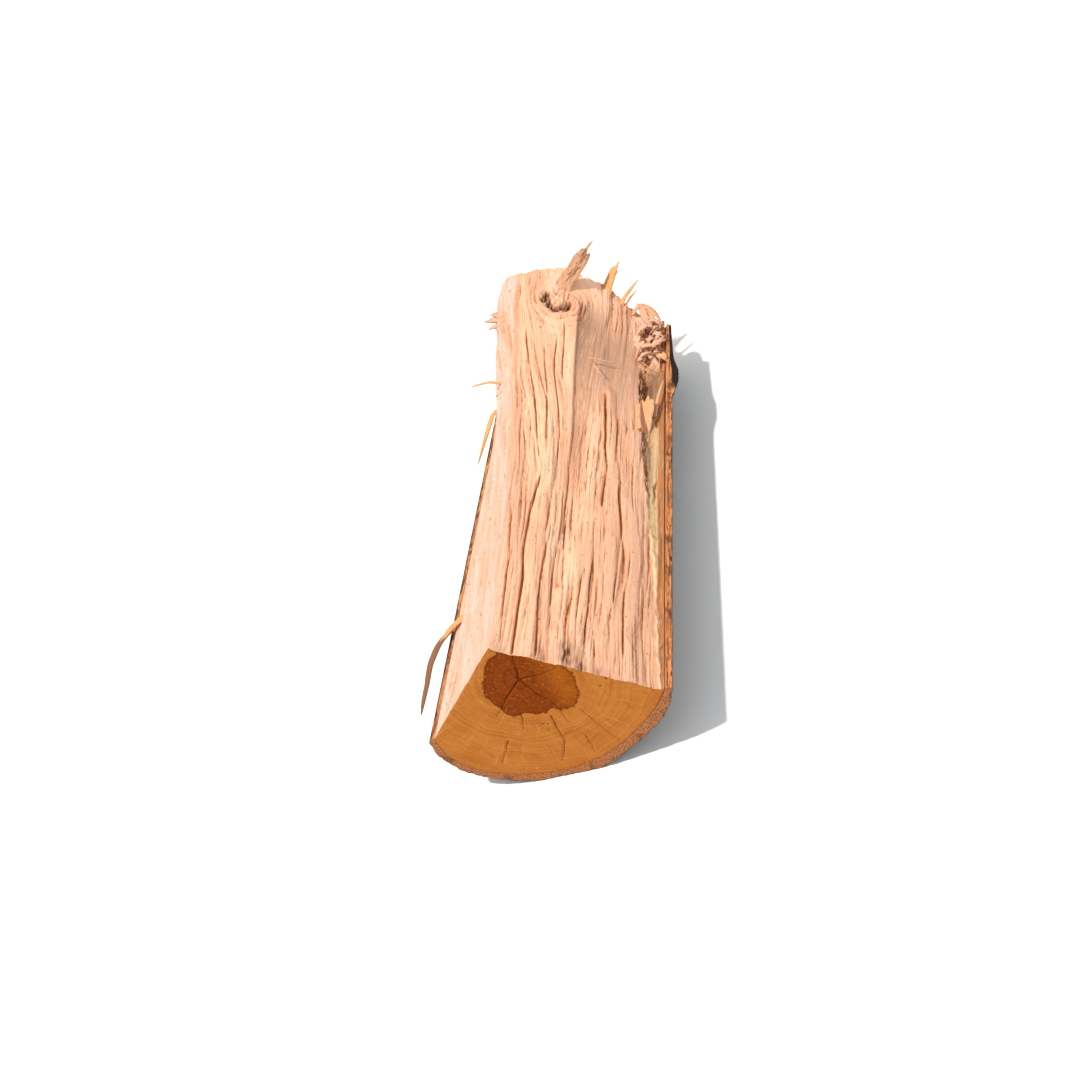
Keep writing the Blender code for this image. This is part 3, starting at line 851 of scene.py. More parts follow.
# %% [markdown]
# ## Torn strips
# Splitting leaves strips of wood that hang on by one end and run out to a point. A curve with a
# bevel would make a smooth wire; torn wood is flat, grooved by its strands, and ragged at the
# tip. So each strip is a ribbon swept along a path: its width and its thickness fade to the
# tip, and each of its strands ends a little sooner or later than the next.

# %% Ribbons swept along a path
STORED = ("grain", "hollow", "stain_and_shade", "painted_shade_plane", "golden")
ACROSS_X, ACROSS_Y = np.eye(3)[:2]


def no_strips():
    """An empty store for the points, faces and notes of torn strips."""
    return {key: [] for key in ("points", "faces", *STORED)}


torn = no_strips()


def along_path(stops, at):
    """Points on a smooth curve through stops, for at from 0 to 1."""
    stops = np.array(stops, float)
    places = np.linspace(0, 1, len(stops))
    return np.stack([smooth(list(zip(places, stops[:, i])), at) for i in range(stops.shape[1])], axis=-1)


def torn_strip(stops, widths, thick, sideways, seed, zone=1, golden=0.1, strands=9, steps=26, rag=0.14,
               rough=0.35, painted_shade_plane=0.0, stain_and_shade=0.0):
    """Adds one ribbon, in mm in the log's frame, to the torn wood."""
    at = np.linspace(0, 1, steps)
    u = np.linspace(-1, 1, strands)
    late = 1 - rag * np.abs(noise(u * 2.3, 0, seed + 1)) * 1.5 - 0.25 * rag * u**2
    own = at[:, None] * late[None, :]
    centre, ahead, behind = (along_path(stops, np.clip(own + shift, 0, 1).ravel()).reshape(steps, strands, 3)
                             for shift in (0, 0.01, -0.01))
    run = ahead - behind
    run /= np.maximum(np.linalg.norm(run, axis=-1, keepdims=True), 1e-9)
    side = sideways - (run @ sideways)[..., None] * run
    side /= np.linalg.norm(side, axis=-1, keepdims=True)
    up = np.cross(side, run)
    width = smooth(list(zip(np.linspace(0, 1, len(widths)), widths)), own)
    wobble = 1 + 0.14 * noise(at[:, None] * 3.1, 0, seed + 2)
    wobble = wobble + 0.08 * noise(at[:, None] * 9, u * 1.2, seed + 5)
    ridges = 0.6 * noise(u * strands / 2.6, own * 4, seed + 3)
    ridges = ridges + 0.5 * noise(u * strands / 1.3, own * 9, seed + 4)
    slim = np.minimum(thick, 0.7 * width) * (0.35 + 0.65 * np.sqrt(np.clip(1 - u**2, 0, 1)))
    lean = side * (u * width / 2 * wobble)[..., None]
    top = centre + lean + up * (slim * (0.5 + rough * ridges))[..., None]
    low = centre + lean - up * (slim * (0.5 - rough * ridges))[..., None]
    rings = np.concatenate([top, low[:, ::-1]], axis=1)
    count = 2 * strands
    base = sum(len(p) for p in torn["points"])
    i = np.arange(strands - 1)
    cap = np.stack([i, i + 1, count - 2 - i, count - 1 - i], axis=-1)
    faces = np.concatenate([ring_quads(steps, count), cap[:, ::-1], cap + (steps - 1) * count])
    torn["points"].append(rings.reshape(-1, 3) * MM)
    torn["faces"].append(faces + base)
    length = np.linalg.norm(np.diff(np.array(stops, float), axis=0), axis=1).sum()
    across = np.concatenate([u, u[::-1]]) * width.max() / 2 + seed * 13.7
    along = (at * length + seed * 31)[:, None]
    grain = np.stack(np.broadcast_arrays(across[None, :], along, float(zone)), axis=-1)
    torn["grain"].append(grain.reshape(-1, 3))
    # Painted shade in the grooves between the strip's strands.
    grooves = np.clip(0.1 - 1.3 * np.concatenate([ridges, ridges[:, ::-1]], axis=1), 0, 1)
    torn["hollow"].append((grooves * min(0.72, 1.4 * rough)).ravel())
    for key, value in (("stain_and_shade", stain_and_shade), ("painted_shade_plane", painted_shade_plane), ("golden", golden)):
        torn[key].append(np.full(steps * count, float(value)))


def hair(root, heading, length, seed, width=0.35, golden=0.15):
    """A single loose fibre that bows as it stands off."""
    root, heading = np.array(root, float), np.array(heading, float)
    heading /= np.linalg.norm(heading)
    bow = np.cross(heading, (noise(seed * 0.37, 0, 1), noise(seed * 0.37, 0, 2), 1.0))
    bow = bow / np.linalg.norm(bow) * length * 0.35 * noise(seed * 0.61, 0, 3)
    sideways = ACROSS_X if abs(heading[0]) < 0.7 else ACROSS_Y
    torn_strip([root - heading * 0.6, root + heading * length / 2 + bow, root + heading * length],
               [width, width * 0.8, width * 0.3], width, sideways, seed, golden=golden, strands=3, steps=8,
               rag=0)


print(f"each strip stores {', '.join(STORED)} for its finish")

# %% [markdown]
# The largest splinter is the spur that the torn branch left in its knot. Several grooved ribbons
# lie side by side and end at different lengths, which makes its tip ragged, and each starts
# inside the hollow, so that no gap shows at its foot.

# %% The knot's spur
# Each ribbon has its stops, its widths from root to tip and its thickness.
SPUR = (
    ([(4.5, 155, 99), (9, 163, 102), (14.5, 171, 105), (21, 179, 107.5), (28, 189, 109.5), (33, 197, 111.3)],
     [9.5, 8.5, 7.5, 7, 6, 4], 4.5),
    ([(10.5, 155, 96.5), (14, 162.5, 100), (18, 169, 103), (25, 178, 105), (31, 187, 107), (35, 193, 109)],
     [6, 5.5, 5, 4, 3.5, 2], 3.2),
    ([(5.5, 164, 101), (11, 171, 106), (17, 178, 109), (21, 183, 110)], [4.5, 3.5, 2.4, 1], 3),
    ([(14, 174, 107), (21, 182, 110), (27, 191, 112), (31, 196.5, 112.5)], [4, 4, 3.4, 2], 3),
    ([(32, 196, 111), (35.5, 201, 112), (38, 204.5, 112.8)], [3.2, 1.8, 0.8], 1.4))
# The spur takes a little of the plane's painted shade.
for k, (stops, widths, thick) in enumerate(SPUR):
    torn_strip(stops, widths, thick, ACROSS_X, 101 + k, golden=0.15, strands=15, steps=44, rag=0.35,
               rough=0.9, painted_shade_plane=0.05)
hair((37, 203, 112.6), (3.4, 0.8, 0.6), 4.5, 106, 0.4)
hair((37.3, 203, 112.6), (3, -2.4, 0.3), 4, 107, 0.35)
print(f"the spur has {len(torn['points'])} ribbons and hairs")

# %% [markdown]
# The other splinters are placed one by one, each with a few stops from its root to its tip: a
# broad chip and a fork at the far right, a tuft, a needle and a sliver on the left edge, a long
# strip that hangs down near the front, and a flap over the ledge.

# %% The strips that stand clear
# Stops from root to tip, widths, thickness, the way its width lies, seed, and what sets it apart.
STRIPS = {
    "broad chip": ([(34.5, 182, 74.5), (37, 188, 79), (42, 196, 84), (47, 201.5, 88)],
                   [7.5, 7.5, 7, 6], 2.2, ACROSS_X, 2, {"golden": 0.95, "rag": 0.15}),
    "chip's edge": ([(37, 184, 76), (40, 190, 80.5), (45, 197, 85.5), (50.5, 204, 90.5)],
                    [3, 3, 2.4, 1.4], 1.4, ACROSS_X, 12, {"golden": 0.85}),
    "long fork": ([(43, 174, 65), (46, 178, 70), (52.5, 184, 73.5), (60.5, 192, 76)],
                  [4, 3.6, 3, 1], 1.8, ACROSS_X, 3, {"golden": 0.85}),
    "short fork": ([(45, 175, 65), (52, 182, 69), (58, 187, 71)],
                   [2.6, 1.8, 0.8], 1.3, ACROSS_X, 4, {"golden": 0.6}),
    "left needle": ([(-37, 100, 78), (-51, 100, 84), (-62.5, 100, 84.7)],
                    [3, 2.4, 0.9], 1.2, ACROSS_Y, 6, {"golden": 0.7}),
    "needle's fork": ([(-39, 99, 79), (-49, 101.5, 83.2), (-56, 100.5, 83.6)],
                      [1.6, 1.2, 0.5], 0.9, ACROSS_Y, 16, {"golden": 0.6}),
    "left sliver": ([(-48, 97, 63), (-53, 90, 63.5), (-58, 75, 59.5), (-64.5, 46, 53.5)],
                    [4, 4, 3.5, 1], 1.5, ACROSS_X, 7, {"golden": 1.0, "rag": 0.4}),
    "hanging strip's root": ([(-51, -108, 52.5), (-59, -118, 53.5), (-63.5, -131, 55)],
                             [5, 4.5, 2], 1.8, ACROSS_X, 8, {"golden": 1.0, "rag": 0.5}),
    # The hanging strip is darkened all over with painted shade.
    "hanging strip": ([(-59, -117, 52.5), (-64, -132, 55.3), (-66, -146.5, 56), (-67, -160.5, 54),
                       (-68.5, -171, 51.8), (-70.4, -178.5, 48.6)],
                      [4.4, 4.8, 4.0, 3.2, 2.4, 0.8], 1.3, ACROSS_X, 18,
                      {"painted_shade_plane": 1.0, "stain_and_shade": 0.5, "steps": 40}),
    "torn flap": ([(57.5, 20, 48), (60, 44, 53.5), (64.5, 59, 57.5)],
                  [8, 12, 11], 1.8, ACROSS_X, 9, {"golden": 0.45, "strands": 17, "rag": 0.45}),
    "flap's needle": ([(66, 44, 50), (69, 66, 51.5), (72, 86, 50)],
                      [2.6, 2, 0.9], 1.1, ACROSS_X, 10, {"golden": 0.25}),
    "flap's splinter": ([(58.5, 24, 57.5), (57.3, 42, 59.5), (58, 56, 60.5)],
                        [3, 2.4, 1], 1.2, ACROSS_X, 11, {"golden": 0.35})}
for stops, widths, thick, sideways, seed, apart in STRIPS.values():
    torn_strip(stops, widths, thick, sideways, seed, **apart)

TUFT = (((-52.5, 160, 100.8), 5), ((-47, 163, 103.2), 4), ((-51, 157, 95), 4.5), ((-50, 161, 98.2), 4),
        ((-46, 155, 93.5), 3), ((-44.5, 165, 103), 3))
for k, (tip, width) in enumerate(TUFT):
    root = np.array((-36, 160 + 0.8 * (tip[1] - 160), 95.5 + 0.25 * (tip[2] - 98)))
    middle = (root + np.array(tip)) / 2 + np.array((0, 0, 1.0))
    widths = [width + 2, width, 0.9]
    torn_strip([root, middle, tip], widths, 2.4, ACROSS_Y, 50 + k, zone=0, rag=0.5, rough=0.7)
print(f"{len(torn['points'])} strips stand clear of the faces")

# %% [markdown]
# Where the slab broke away at the far right, the ledge is filled with a crown of short curled
# strips and loose fibres. Nobody would place each by hand: a few large ones have their own
# paths, and a seeded crowd fills in between them.

# %% The crown of torn fibre on the ledge
def on_ledge(along, share):
    """A point of the ledge in mm in the log's frame."""
    _, ridge, right = corners(np.array(float(along)))
    x, z = raised(ridge, right, share, -smooth(LEDGE_DEPTH, along)) + PITH
    return np.array([x, along * far_end(x - PITH[0]) / LENGTH + bark_low.y / MM, z])


CROWN = (
    ([(51, 170, 61), (57, 176, 63.5), (66, 172, 58), (71, 161, 50)], [5, 6, 5, 2], 1.5, ACROSS_Y, 0.3, {}),
    ([(58, 152, 56), (65, 160, 57.5), (70, 157, 53), (67, 147, 50)], [4, 4.5, 4, 2], 1.3, ACROSS_Y, 0.3, {}),
    ([(60, 158, 54), (59, 170, 60), (56, 178, 66.5)], [5, 5, 2.5], 1.8, ACROSS_X, 0.4, {}),
    ([(65, 160, 51), (64, 170, 58), (61, 176, 64.5)], [4, 4.5, 2], 1.6, ACROSS_X, 0.4, {"golden": 0.3}),
    ([(60, 120, 57.5), (65, 117, 54.5), (70, 124, 50)], [2.4, 3, 1.4], 1.0, ACROSS_Y, 0.14, {"zone": 3}))
for k, (stops, widths, thick, sideways, rag, apart) in enumerate(CROWN):
    torn_strip(stops, widths, thick, sideways, 30 + k, rag=rag, **apart)

crowd = np.random.default_rng(12)
for k in range(34):
    along = crowd.choice([crowd.uniform(326, 350), crowd.uniform(348, 378)])
    root = on_ledge(along, crowd.uniform(0.8, 0.985))
    turn, reach, rise = crowd.uniform(-0.9, 2.4), crowd.uniform(5, 15), crowd.uniform(1.0, 8.5)
    run = np.array([math.cos(turn), math.sin(turn), 0]) * reach
    run[0] = min(run[0], (75 - root[0]) / 1.3)  # so that no tip sticks out over the bark
    tip = root + run * crowd.uniform(0.7, 1.3) + (0, 0, rise * crowd.uniform(-0.3, 1.1))
    stops = [root - run * 0.2 - (0, 0, 1), root + run * 0.5 + (0, 0, rise), tip]
    width = crowd.uniform(2.0, 7.5)
    sideways = ACROSS_Y if abs(run[0]) > abs(run[1]) else ACROSS_X
    torn_strip(stops, [width, width, width * 0.3], 0.4 + width * 0.15, sideways, 200 + k, zone=0,
               golden=crowd.choice([0.05, 0.1, 0.2, 0.5]), steps=16, rag=0.6, rough=0.14)
for k in range(60):
    root = on_ledge(crowd.uniform(300, 374), crowd.uniform(0.83, 0.99))
    heading = (crowd.uniform(-0.3, 1), crowd.uniform(-0.6, 0.8), crowd.uniform(0.1, 0.7))
    hair(root, heading, crowd.uniform(4, 11), 300 + k)
BRIDGES = (((58, 101, 58), (69, 91, 51)), ((59, 104, 57), (68, 96, 52)), ((57, 98, 58), (66, 88, 52)))
for k, (start, end) in enumerate(BRIDGES):
    hair(start, np.subtract(end, start), 13, 330 + k, 0.5, 0.3)
print(f"with the crown there are {len(torn['points'])} strips and fibres")

# %% [markdown]
# Single fibres stand off all over a riven face, most of them along its edges. A hair system
# would grow them too, but it takes colour less easily, so these are the thinnest of strips.

# %% Loose fibres on both faces
for k in range(110):
    along = crowd.uniform(6, 392)
    share = crowd.choice([crowd.uniform(0.02, 0.8), smooth(LEDGE_START, along) - 0.01])
    x, z = right_face(np.array(along), np.array(share)) + PITH
    root = (x, along * far_end(x - PITH[0]) / LENGTH + bark_low.y / MM, z - 0.8)
    heading = (crowd.uniform(-0.4, 0.7), crowd.choice([-1, 1]), crowd.uniform(0.1, 0.5))
    hair(root, heading, crowd.uniform(2, 5.5), 400 + k, crowd.uniform(0.2, 0.4), crowd.uniform(0, 0.5))
for k in range(60):
    along = crowd.uniform(4, 396)
    share = crowd.choice([0.01, crowd.uniform(0.05, 0.9)])
    x, z = left_face(np.array(along), np.array(share)) + PITH
    root = (x + 0.6, along + bark_low.y / MM, z - 0.6)
    heading = (-crowd.uniform(0.1, 0.6), crowd.choice([-1, 1]), 0.3)
    hair(root, heading, crowd.uniform(2, 6), 600 + k, crowd.uniform(0.2, 0.45), crowd.uniform(0, 0.8))
print(f"{len(torn['points'])} strips and fibres in all")

# %% One object for all the torn wood
def torn_object(name):
    """Joins the stored strips into one mesh, kept within the CAD box."""
    points = np.clip(np.concatenate(torn["points"]), *(np.array(v) for v in cad_box))
    made = mesh_object(name, points, np.concatenate(torn["faces"]))
    for key in STORED:
        note(made, key, np.concatenate(torn[key]))
    return made


fibres = torn_object("torn_fibres")
print(f"{fibres.name}: {len(fibres.data.polygons)} faces")

# %% [markdown]
# ## The two loose straws
# Two straws lie on the riven face without being part of it. They are their own pieces, so that
# the library can leave them out. Each is a thin strip between the ends of its CAD node, made
# in the same way as the splinters but from an empty store of its own.

# %% Loose straws
straws = []
for name, slant in (("loose_straw_long", 1), ("loose_straw_short", -1)):
    low, high = (np.array(v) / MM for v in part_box(name))
    middle = (low + high) / 2
    torn = no_strips()
    first, last = (low[1], high[1]) if slant > 0 else (high[1], low[1])
    ends = ((low[0] + 1, first + 0.8 * slant, high[2] - 0.9), (high[0] - 1, last - 0.8 * slant, low[2] + 0.9))
    torn_strip([ends[0], tuple(middle), ends[1]], [1.3, 1.2, 0.7], 0.7, ACROSS_Y, 20 + slant, zone=0,
               golden=0.6, strands=5, steps=14)
    straw = torn_object(name.replace("loose_", ""))
    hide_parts(name)
    straws.append(straw)
print([s.name for s in straws])

# %% [markdown]
# ## Painting with nodes
# All colour comes from shader nodes. Written out, node trees are long, so one small class lets a
# socket be used like a number, and one method adds any node. Colours are given as they look on
# a screen and turned into the linear values that the renderer works with.

# %% A socket that does sums
def colour(red, green, blue):
    """A linear colour from screen values of 0 to 255."""
    def linear(v):
        v = v / 255
        return v / 12.92 if v <= 0.04045 else ((v + 0.055) / 1.055) ** 2.4
    return (linear(red), linear(green), linear(blue), 1.0)


class Paint:
    """One output socket of a material's tree, with sums."""

    def __init__(self, finish, socket):
        self.finish, self.socket = finish, socket

    def sum(self, operation, first, second):
        return self.finish.add("Math", {"operation": operation}, {0: first, 1: second})

    def __add__(self, other):
        return self.sum("ADD", self, other)

    def __sub__(self, other):
        return self.sum("SUBTRACT", self, other)

    def __rsub__(self, other):
        return self.sum("SUBTRACT", other, self)

    def __mul__(self, other):
        return self.sum("MULTIPLY", self, other)

    def __truediv__(self, other):
        return self.sum("DIVIDE", self, other)

    def __pow__(self, other):
        return self.sum("POWER", self, other)

    __radd__, __rmul__ = __add__, __mul__

    def between(self, low, high):
        """0 at low, 1 at high, smooth between."""
        return self.finish.add("MapRange", {"interpolation_type": "SMOOTHSTEP"},
                               {"Value": self, "From Min": low, "From Max": high})


print(f"a screen value of 128 is {colour(128, 128, 128)[0]:.2f} in linear light")

# %% A finish that is built up node by node
class Finish:
    """A material with one Principled surface, built up node by node."""

    def __init__(self, name, roughness=0.7, shine=0.25):
        self.material = bpy.data.materials.new(name)
        self.material.use_nodes = True
        self.tree = self.material.node_tree
        self.surface = self.tree.nodes["Principled BSDF"]
        self.surface.inputs["Roughness"].default_value = roughness
        self.surface.inputs["Specular IOR Level"].default_value = shine

    def put(self, sockets, key, value):
        socket = sockets[key]
        if isinstance(value, Paint):
            self.tree.links.new(value.socket, socket)
        else:
            socket.default_value = value

    def add(self, kind, settings=None, sockets=None, output=0):
        """Any node: its settings are set first, then its sockets take values or links."""
        node = self.tree.nodes.new("ShaderNode" + kind)
        for key, value in (settings or {}).items():
            setattr(node, key, value)
        for key, value in (sockets or {}).items():
            self.put(node.inputs, key, value)
        return Paint(self, node.outputs[output])

    def stored(self, name, output="Fac"):
        """What note() stored on the mesh under this name."""
        return self.add("Attribute", {"attribute_name": name}, output=output)

    def parts(self, vector):
        node = self.add("SeparateXYZ", None, {0: vector}).socket.node
        return [Paint(self, socket) for socket in node.outputs]

    def place(self, x, y, z=0.0):
        return self.add("CombineXYZ", None, {0: x, 1: y, 2: z})

    def grain(self, where, scale, detail=2.0, rough=0.5):
        """Noise from 0 to 1 at a place."""
        return self.add("TexNoise", None, {"Vector": where, "Scale": scale, "Detail": detail,
                                           "Roughness": rough})

    def mix(self, factor, first, second):
        """A blend of two colours, each a socket or three screen values."""
        first, second = (tone if isinstance(tone, Paint) else colour(*tone) for tone in (first, second))
        return self.add("Mix", {"data_type": "RGBA"}, {0: factor, 6: first, 7: second}, output=2)

    def coats(self, face, *coats):
        """Lays coats over a colour, each given as how much of it shows and its own colour."""
        for amount, tone in coats:
            face = self.mix(amount, face, tone)
        return face

    def bump(self, height, distance, strength=1.0):
        return self.add("Bump", None, {"Height": height, "Distance": distance, "Strength": strength})

    def shows(self, **inputs):
        for key, value in inputs.items():
            self.put(self.surface.inputs, key.replace("_", " ").title(), value)
        return self.material


print(f"{len([name for name in vars(Finish) if name[0] != '_'])} ways to add to a finish")

# %% [markdown]
# ## Riven wood
# Fresh riven wood is cream on the ridges and peach on the slopes, and the orange-brown in the
# grooves is painted shade. The colour follows the stored fibre course, so the streaks run with
# the relief: a broad drift between cream and pink, thin darker fibres, small rusty flecks, and
# painted shade, warm and dark, that follows the depth. The plane beyond the crest gets painted
# shade too, the ledge partly, and the step down to the ledge is painted lighter.

# %% Riven wood finish
def riven_wood():
    wood = Finish("riven_wood", 0.72)
    across, along, zone = wood.parts(wood.stored("grain", "Vector"))
    hollow, stain_and_shade, painted_shade_plane, golden = (wood.stored(name) for name in ("hollow", "stain_and_shade", "painted_shade_plane", "golden"))

    def streaks(wide, long, seed, *shape):
        """Noise drawn out along the fibres, with the size of its marks in mm."""
        return wood.grain(wood.place(across / wide, along / long, seed), 1.0, *shape)

    drift = streaks(16, 120, 0.0, 3).between(0.35, 0.65)
    streak = streaks(2.1, 55, 3.0, 4, 0.6).between(0.42, 0.68)
    thread = streaks(0.55, 22, 7.0, 3, 0.6)
    dash = streaks(0.9, 11, 11.0, 2).between(0.62, 0.71)
    patch = streaks(14, 45, 13.0).between(0.4, 0.6)
    stain = streaks(3.2, 8, 23.0, 3).between(0.62, 0.72)
    pit = streaks(1.6, 3.6, 17.0, 2).between(0.66, 0.73)

    is_left, is_ledge = 1 - zone.between(0.3, 0.6), zone.between(2.6, 2.9)
    is_step = zone.between(1.3, 1.6) * (1 - zone.between(2.4, 2.7))
    right_side = across.between(42.0, 80.0) * zone.between(0.3, 0.6)
    sapwood_strip = across.between(82.0, 85.5) * along.between(285.0, 255.0)
    # The ledge's greyish brown is partly the wood's colour and partly painted shade, as it lies low beside
    # the step.
    ledge = wood.coats(wood.mix(drift, (126, 98, 74), (150, 120, 92)),
                       (sapwood_strip, (192, 170, 128)),
                       (along.between(314.0, 330.0), (216, 174, 134)),
                       (across.between(87.9, 88.7), wood.mix(streak, (170, 110, 66), (110, 66, 38))))
    face = wood.coats(wood.mix(drift, (245, 195, 162), (230, 172, 138)),
                      (is_left, wood.mix(drift, (224, 192, 178), (214, 172, 148))),
                      (right_side * 0.7, (208, 160, 130)),
                      (is_ledge, ledge),
                      # Painted light: the step down to the ledge is lightened against the shade it falls in.
                      (is_step * 0.5, (250, 214, 178)),
                      # Painted shade: the plane beyond the crest, and the strips that take its colour.
                      (painted_shade_plane * 0.85, wood.mix(drift, (120, 92, 72), (104, 78, 60))),
                      (golden, wood.mix(drift, (214, 152, 88), (228, 170, 108))),
                      (streak * (0.32 + is_left * 0.3), (224, 158, 110)),
                      (thread.between(0.56, 0.74) * 0.45, (255, 226, 194)),
                      (thread.between(0.46, 0.30) * (0.4 + is_left * 0.15), (212, 148, 100)),
                      # Painted shade in the grooves, warm where shallow and darker where deep.
                      (hollow.between(0.15, 0.9) * 0.7, (206, 128, 66)),
                      (hollow.between(0.75, 1.0) * 0.6, (150, 84, 40)),
                      (dash * (patch * 0.6 + 0.3), (204, 118, 52)),
                      (stain * is_left * 0.6, (206, 124, 62)),
                      (pit * 0.75, (160, 90, 38)),
                      # Dark stains, pits and the knot's dark hollow, with painted shade in the ledge's hollow
                      # and on the hanging strip.
                      (stain_and_shade * 0.92, (96, 50, 16)))
    height = thread * 0.6 + streaks(0.25, 12, 1.0, 2) * 0.4
    return wood.shows(base_color=face, roughness=streaks(3, 20, 0.0) * 0.2 + 0.62,
                      normal=wood.bump(height, 0.0008, 0.8))


riven = riven_wood()
print(f"{riven.name} has {len(riven.node_tree.nodes)} nodes")

# %% [markdown]
# ## Sawn ends
# An end shows the years as rings round the pith, dark heartwood inside and honey sapwood
# outside. The heartwood of this log has an uneven border, so its outline is given as points and
# each vertex keeps its distance to it; noise in the finish roughens the border further.

# %% How far each point of an end is inside the heartwood
HEARTWOOD = ((-13.7, 19.8), (-10, 17.5), (-15, 10.6), (-16.5, 3.8), (-17, -1.6), (-17, -9.8), (-13.8, -16.5),
             (-9.2, -21), (-6, -25), (-1.7, -25.2), (3, -22.6), (12, -22.4), (15.3, -17.8), (19, -18.8),
             (22.7, -17), (27, -15.2), (27.6, -7.5), (26.5, 1.2), (25, 6.4), (21.4, 10), (18.7, 12.4), (14,
                                                                                                        24))
HEART_ROLL, HEART_SIZE = math.radians(24), 1.11


def turned(points, angle, size):
    """Points of a section turned clockwise round the pith and enlarged."""
    x, z = np.array(points, float).T * size
    c, s = math.cos(angle), math.sin(angle)
    return np.stack([x * c + z * s, -x * s + z * c], axis=-1)


def inside_by(points, outline):
    """Distance to an outline in mm, positive inside."""
    a, b = outline[None], np.roll(outline, -1, axis=0)[None]
    t = np.clip(((points[:, None] - a) * (b - a)).sum(-1) / ((b - a) ** 2).sum(-1), 0, 1)
    off = np.linalg.norm(points[:, None] - (a + t[..., None] * (b - a)), axis=-1).min(axis=1)
    return np.where(inside(points, outline), off, -off)


heartwood = turned(HEARTWOOD, HEART_ROLL, HEART_SIZE)
section_of = np.stack([points[:, 0] / MM - PITH[0], points[:, 2] / MM - PITH[1]], axis=-1)
at_end = np.zeros(len(points), bool)
at_end[:ring], at_end[first_back:] = True, True
heart = np.full(len(points), -20.0)
heart[at_end] = inside_by(section_of[at_end], heartwood)
note(wood, "heart", heart)
print(f"{(heart > 0).sum()} points lie in the heartwood")

# %% Sawn end finish
def sawn_end(name, age, saw):
    """Rings, rays and saw marks. Age greys it, saw is how strong the marks are."""
    end = Finish(name, 0.6, shine=0.02)
    x, y, z = end.parts(end.add("TexCoord", output="Object"))
    x, z = x * 1000 - PITH[0], z * 1000 - PITH[1]
    where = end.place(x, z)
    heart, hollow = end.stored("heart"), end.stored("hollow")
    wobble = end.grain(where, 0.05, 2) * 9 + end.grain(where, 0.4, 2) * 0.8
    radius = (x * x + z * z) ** 0.5 + wobble
    angle = end.add("Math", {"operation": "ARCTAN2"}, {0: z, 1: x})
    years = end.grain(end.place(radius / 2.3, 0.0, 5.0), 1.0, 3, 0.6)
    rays = end.grain(end.place(angle * 34, radius / 26, 2.0), 1.0, 3, 0.6)
    border = heart + (end.grain(where, 0.22, 4, 0.65) - 0.5) * 7
    inner = border.between(-0.5, 0.7)
    patch = end.grain(where, 0.07, 3).between(0.35, 0.7)
    hatch = end.grain(end.place((x + z * 0.35) / 0.7, (z - x * 0.35) / 22), 1.0, 3, 0.6)
    sap = end.coats(end.mix(years.between(0.3, 0.7), (182, 114, 50), (154, 87, 31)),
                    (patch * 0.5, (186, 120, 56)))
    core = end.coats(end.mix(years.between(0.35, 0.7), (126, 56, 8), (106, 41, 5)),
                     (x.between(6.0, 20.0) * (patch * 0.5 + 0.5) * 0.75, (160, 88, 20)),
                     (inner * border.between(2.2, 0.5) * 0.85, (88, 34, 5)))
    face = end.coats(end.mix(inner, sap, core),
                     (rays.between(0.58, 0.75) * 0.3, (226, 164, 96)),
                     ((radius / 7).between(1.0, 0.1) * 0.7, (66, 28, 12)),
                     (hatch.between(0.5, 0.72) * (0.7 * saw), (140, 78, 28)),
                     (end.grain(where, 0.9, 3, 0.7).between(0.62, 0.72) * 0.6, (112, 58, 20)),
                     (end.grain(where, 0.55, 4, 0.7).between(0.56, 0.7) * 0.35, (214, 146, 74)),
                     # Painted shade in the checks and holes.
                     (hollow * 0.9, (46, 22, 12)),
                     (age, end.mix(patch, (176, 148, 118), (140, 112, 86))))
    return end.shows(base_color=face, roughness=0.58 + hatch * 0.15,
                     normal=end.bump(hatch * 0.7 + years * 0.3, 0.0003 * (1 + saw), 0.6))


near_finish, far_finish = sawn_end("sawn_end", 0.0, 0.7), sawn_end("far_end", 0.35, 1.0)
print(f"{near_finish.name} has {len(near_finish.node_tree.nodes)} nodes")

# %% [markdown]
# ## Bark finish
# Old bark is grey-brown on its plates, with a green film of algae where rain runs, and its
# furrows are painted almost black with shade. Where it broke away one sees its inside instead:
# thin red-brown layers that run along the log. The stored skin value tells the two apart.

# %% Bark finish
def bark_finish():
    sheet = Finish("bark", 0.85)
    where = sheet.add("TexCoord", output="Object")
    x, y, z = sheet.parts(where)
    furrow, skin = sheet.stored("furrow"), sheet.stored("skin")
    coarse = sheet.grain(where, 60, 4, 0.6)
    fine = sheet.grain(where, 420, 4, 0.65)
    layers = sheet.grain(sheet.place(x * 900, y * 40, z * 900), 1.0, 4, 0.6)
    at_the_cut = y.between(-0.1985, -0.1995)
    plate = sheet.coats(sheet.mix(coarse.between(0.35, 0.65), (92, 78, 62), (58, 50, 42)),
                        (sheet.grain(where, 24, 3).between(0.5, 0.68) * 0.5, (88, 88, 48)),
                        (fine.between(0.55, 0.8) * 0.5, (140, 124, 100)),
                        # Painted shade, almost black, in the furrows; the black outer bark at the far end of
                        # the torn right edge gets the same colour.
                        (furrow.between(0.1, 0.8), (30, 24, 20)))
    broken = sheet.coats(sheet.mix(layers.between(0.35, 0.6), (134, 74, 38), (218, 144, 88)),
                         (sheet.grain(where, 110, 3).between(0.52, 0.7) * 0.7, (92, 46, 20)),
                         (fine.between(0.6, 0.8) * 0.6, (222, 160, 104)),
                         (at_the_cut * 0.5, (96, 52, 26)))
    return sheet.shows(base_color=sheet.mix(skin.between(0.4, 0.9), broken, plate),
                       roughness=0.75 + coarse * 0.2,
                       normal=sheet.bump(fine * 0.6 + coarse * 0.4, 0.0012, 0.8))


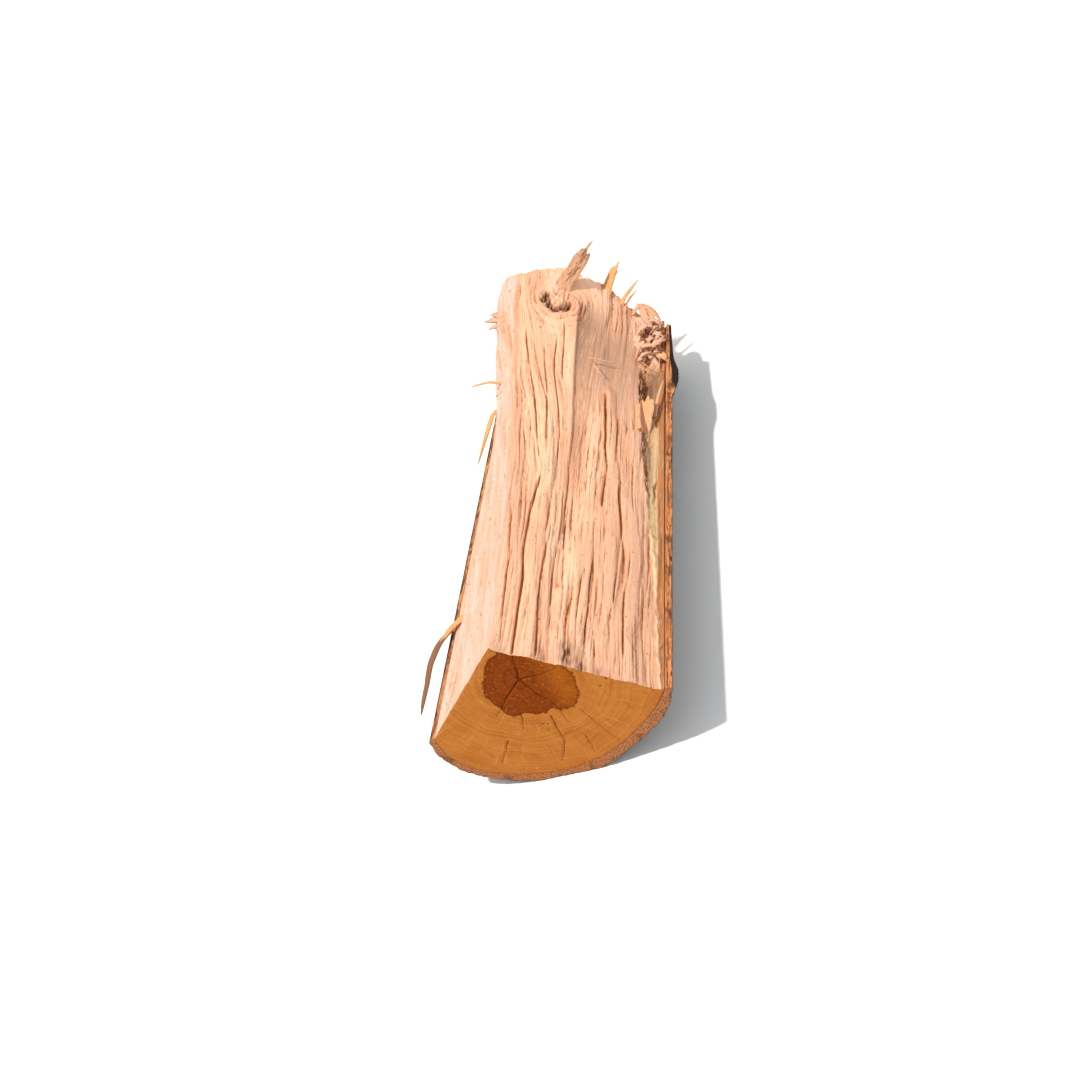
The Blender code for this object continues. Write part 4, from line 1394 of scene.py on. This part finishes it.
for piece in (wood, fibres, *straws):
    piece.data.materials.append(riven)
wood.data.materials.append(near_finish)
wood.data.materials.append(far_finish)
bark.data.materials.append(bark_finish())
print([m.name for m in bpy.data.materials])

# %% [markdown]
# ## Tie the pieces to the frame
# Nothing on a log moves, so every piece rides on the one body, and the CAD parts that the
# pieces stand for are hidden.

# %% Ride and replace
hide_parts("split_wood")
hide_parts("split_wood")
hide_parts("bark")
for piece in (wood, fibres, bark, *straws):
    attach(piece, "root")

# %% [markdown]
# ## Floor, light and camera
# A pale floor and a pale sky keep attention on the wood. A studio could light it with several
# soft lamps, but relief reads best under one: a sun from the upper left, slightly widened so
# that its shadows have soft edges, while the sky fills them.

# %% Floor
FLOOR = 60.0
edge_of_floor = np.array([(-FLOOR, -FLOOR, 0), (FLOOR, -FLOOR, 0), (FLOOR, FLOOR, 0), (-FLOOR, FLOOR, 0)])
floor = mesh_object("floor", edge_of_floor, [(0, 1, 2, 3)])
plain = Finish("floor", 0.9)
clouds = plain.grain(plain.add("TexCoord", output="Object"), 3.0).between(0.2, 0.8)
floor.data.materials.append(plain.shows(base_color=plain.mix(clouds, (246, 245, 243), (250, 249, 247))))
print(f"the floor is {2 * FLOOR:.0f} m wide")

# %% Light
VIEW_TURN = Euler([math.radians(degrees) for degrees in (51.515, 23.904, 5.4417)]).to_matrix()
sun = bpy.data.objects.new("sun", bpy.data.lights.new("sun", "SUN"))
sun.data.energy = 3.3
sun.data.angle = math.radians(3)
sun.data.color = (1.0, 0.95, 0.88)
toward_sun = VIEW_TURN @ Vector((-0.64, 0.42, 0.64))  # from the upper left, as the camera sees it
sun.rotation_euler = toward_sun.to_track_quat("Z", "Y").to_euler()
bpy.context.scene.collection.objects.link(sun)
sky = bpy.data.worlds.new("sky")
sky.use_nodes = True
background = sky.node_tree.nodes["Background"]
background.inputs["Color"].default_value = (0.93, 0.96, 1.0, 1)
background.inputs["Strength"].default_value = 0.75
bpy.context.scene.world = sky
bpy.context.scene.view_settings.view_transform = "Standard"
print(f"the sun comes from {toward_sun.to_tuple(2)}")

# %% [markdown]
# The camera looks down on the sawn end from the front right and leans over to its left, which
# stands the log almost upright in the picture. Its lens is a little longer than the usual one.

# %% Camera
camera = bpy.data.objects.new("camera", bpy.data.cameras.new("camera"))
camera.data.lens = 38.33
camera.data.sensor_width = 36
camera.data.clip_end = 500
camera.matrix_world = Matrix.Translation((0.2243, -0.5938, 0.4574)) @ VIEW_TURN.to_4x4()
bpy.context.scene.collection.objects.link(camera)
bpy.context.scene.camera = camera
print(f"the camera is {camera.matrix_world.translation.length:.2f} m from the middle of the log")

# %% Print the CAD box
print("cad box  ", [[round(c, 4) for c in v] for v in cad_box])
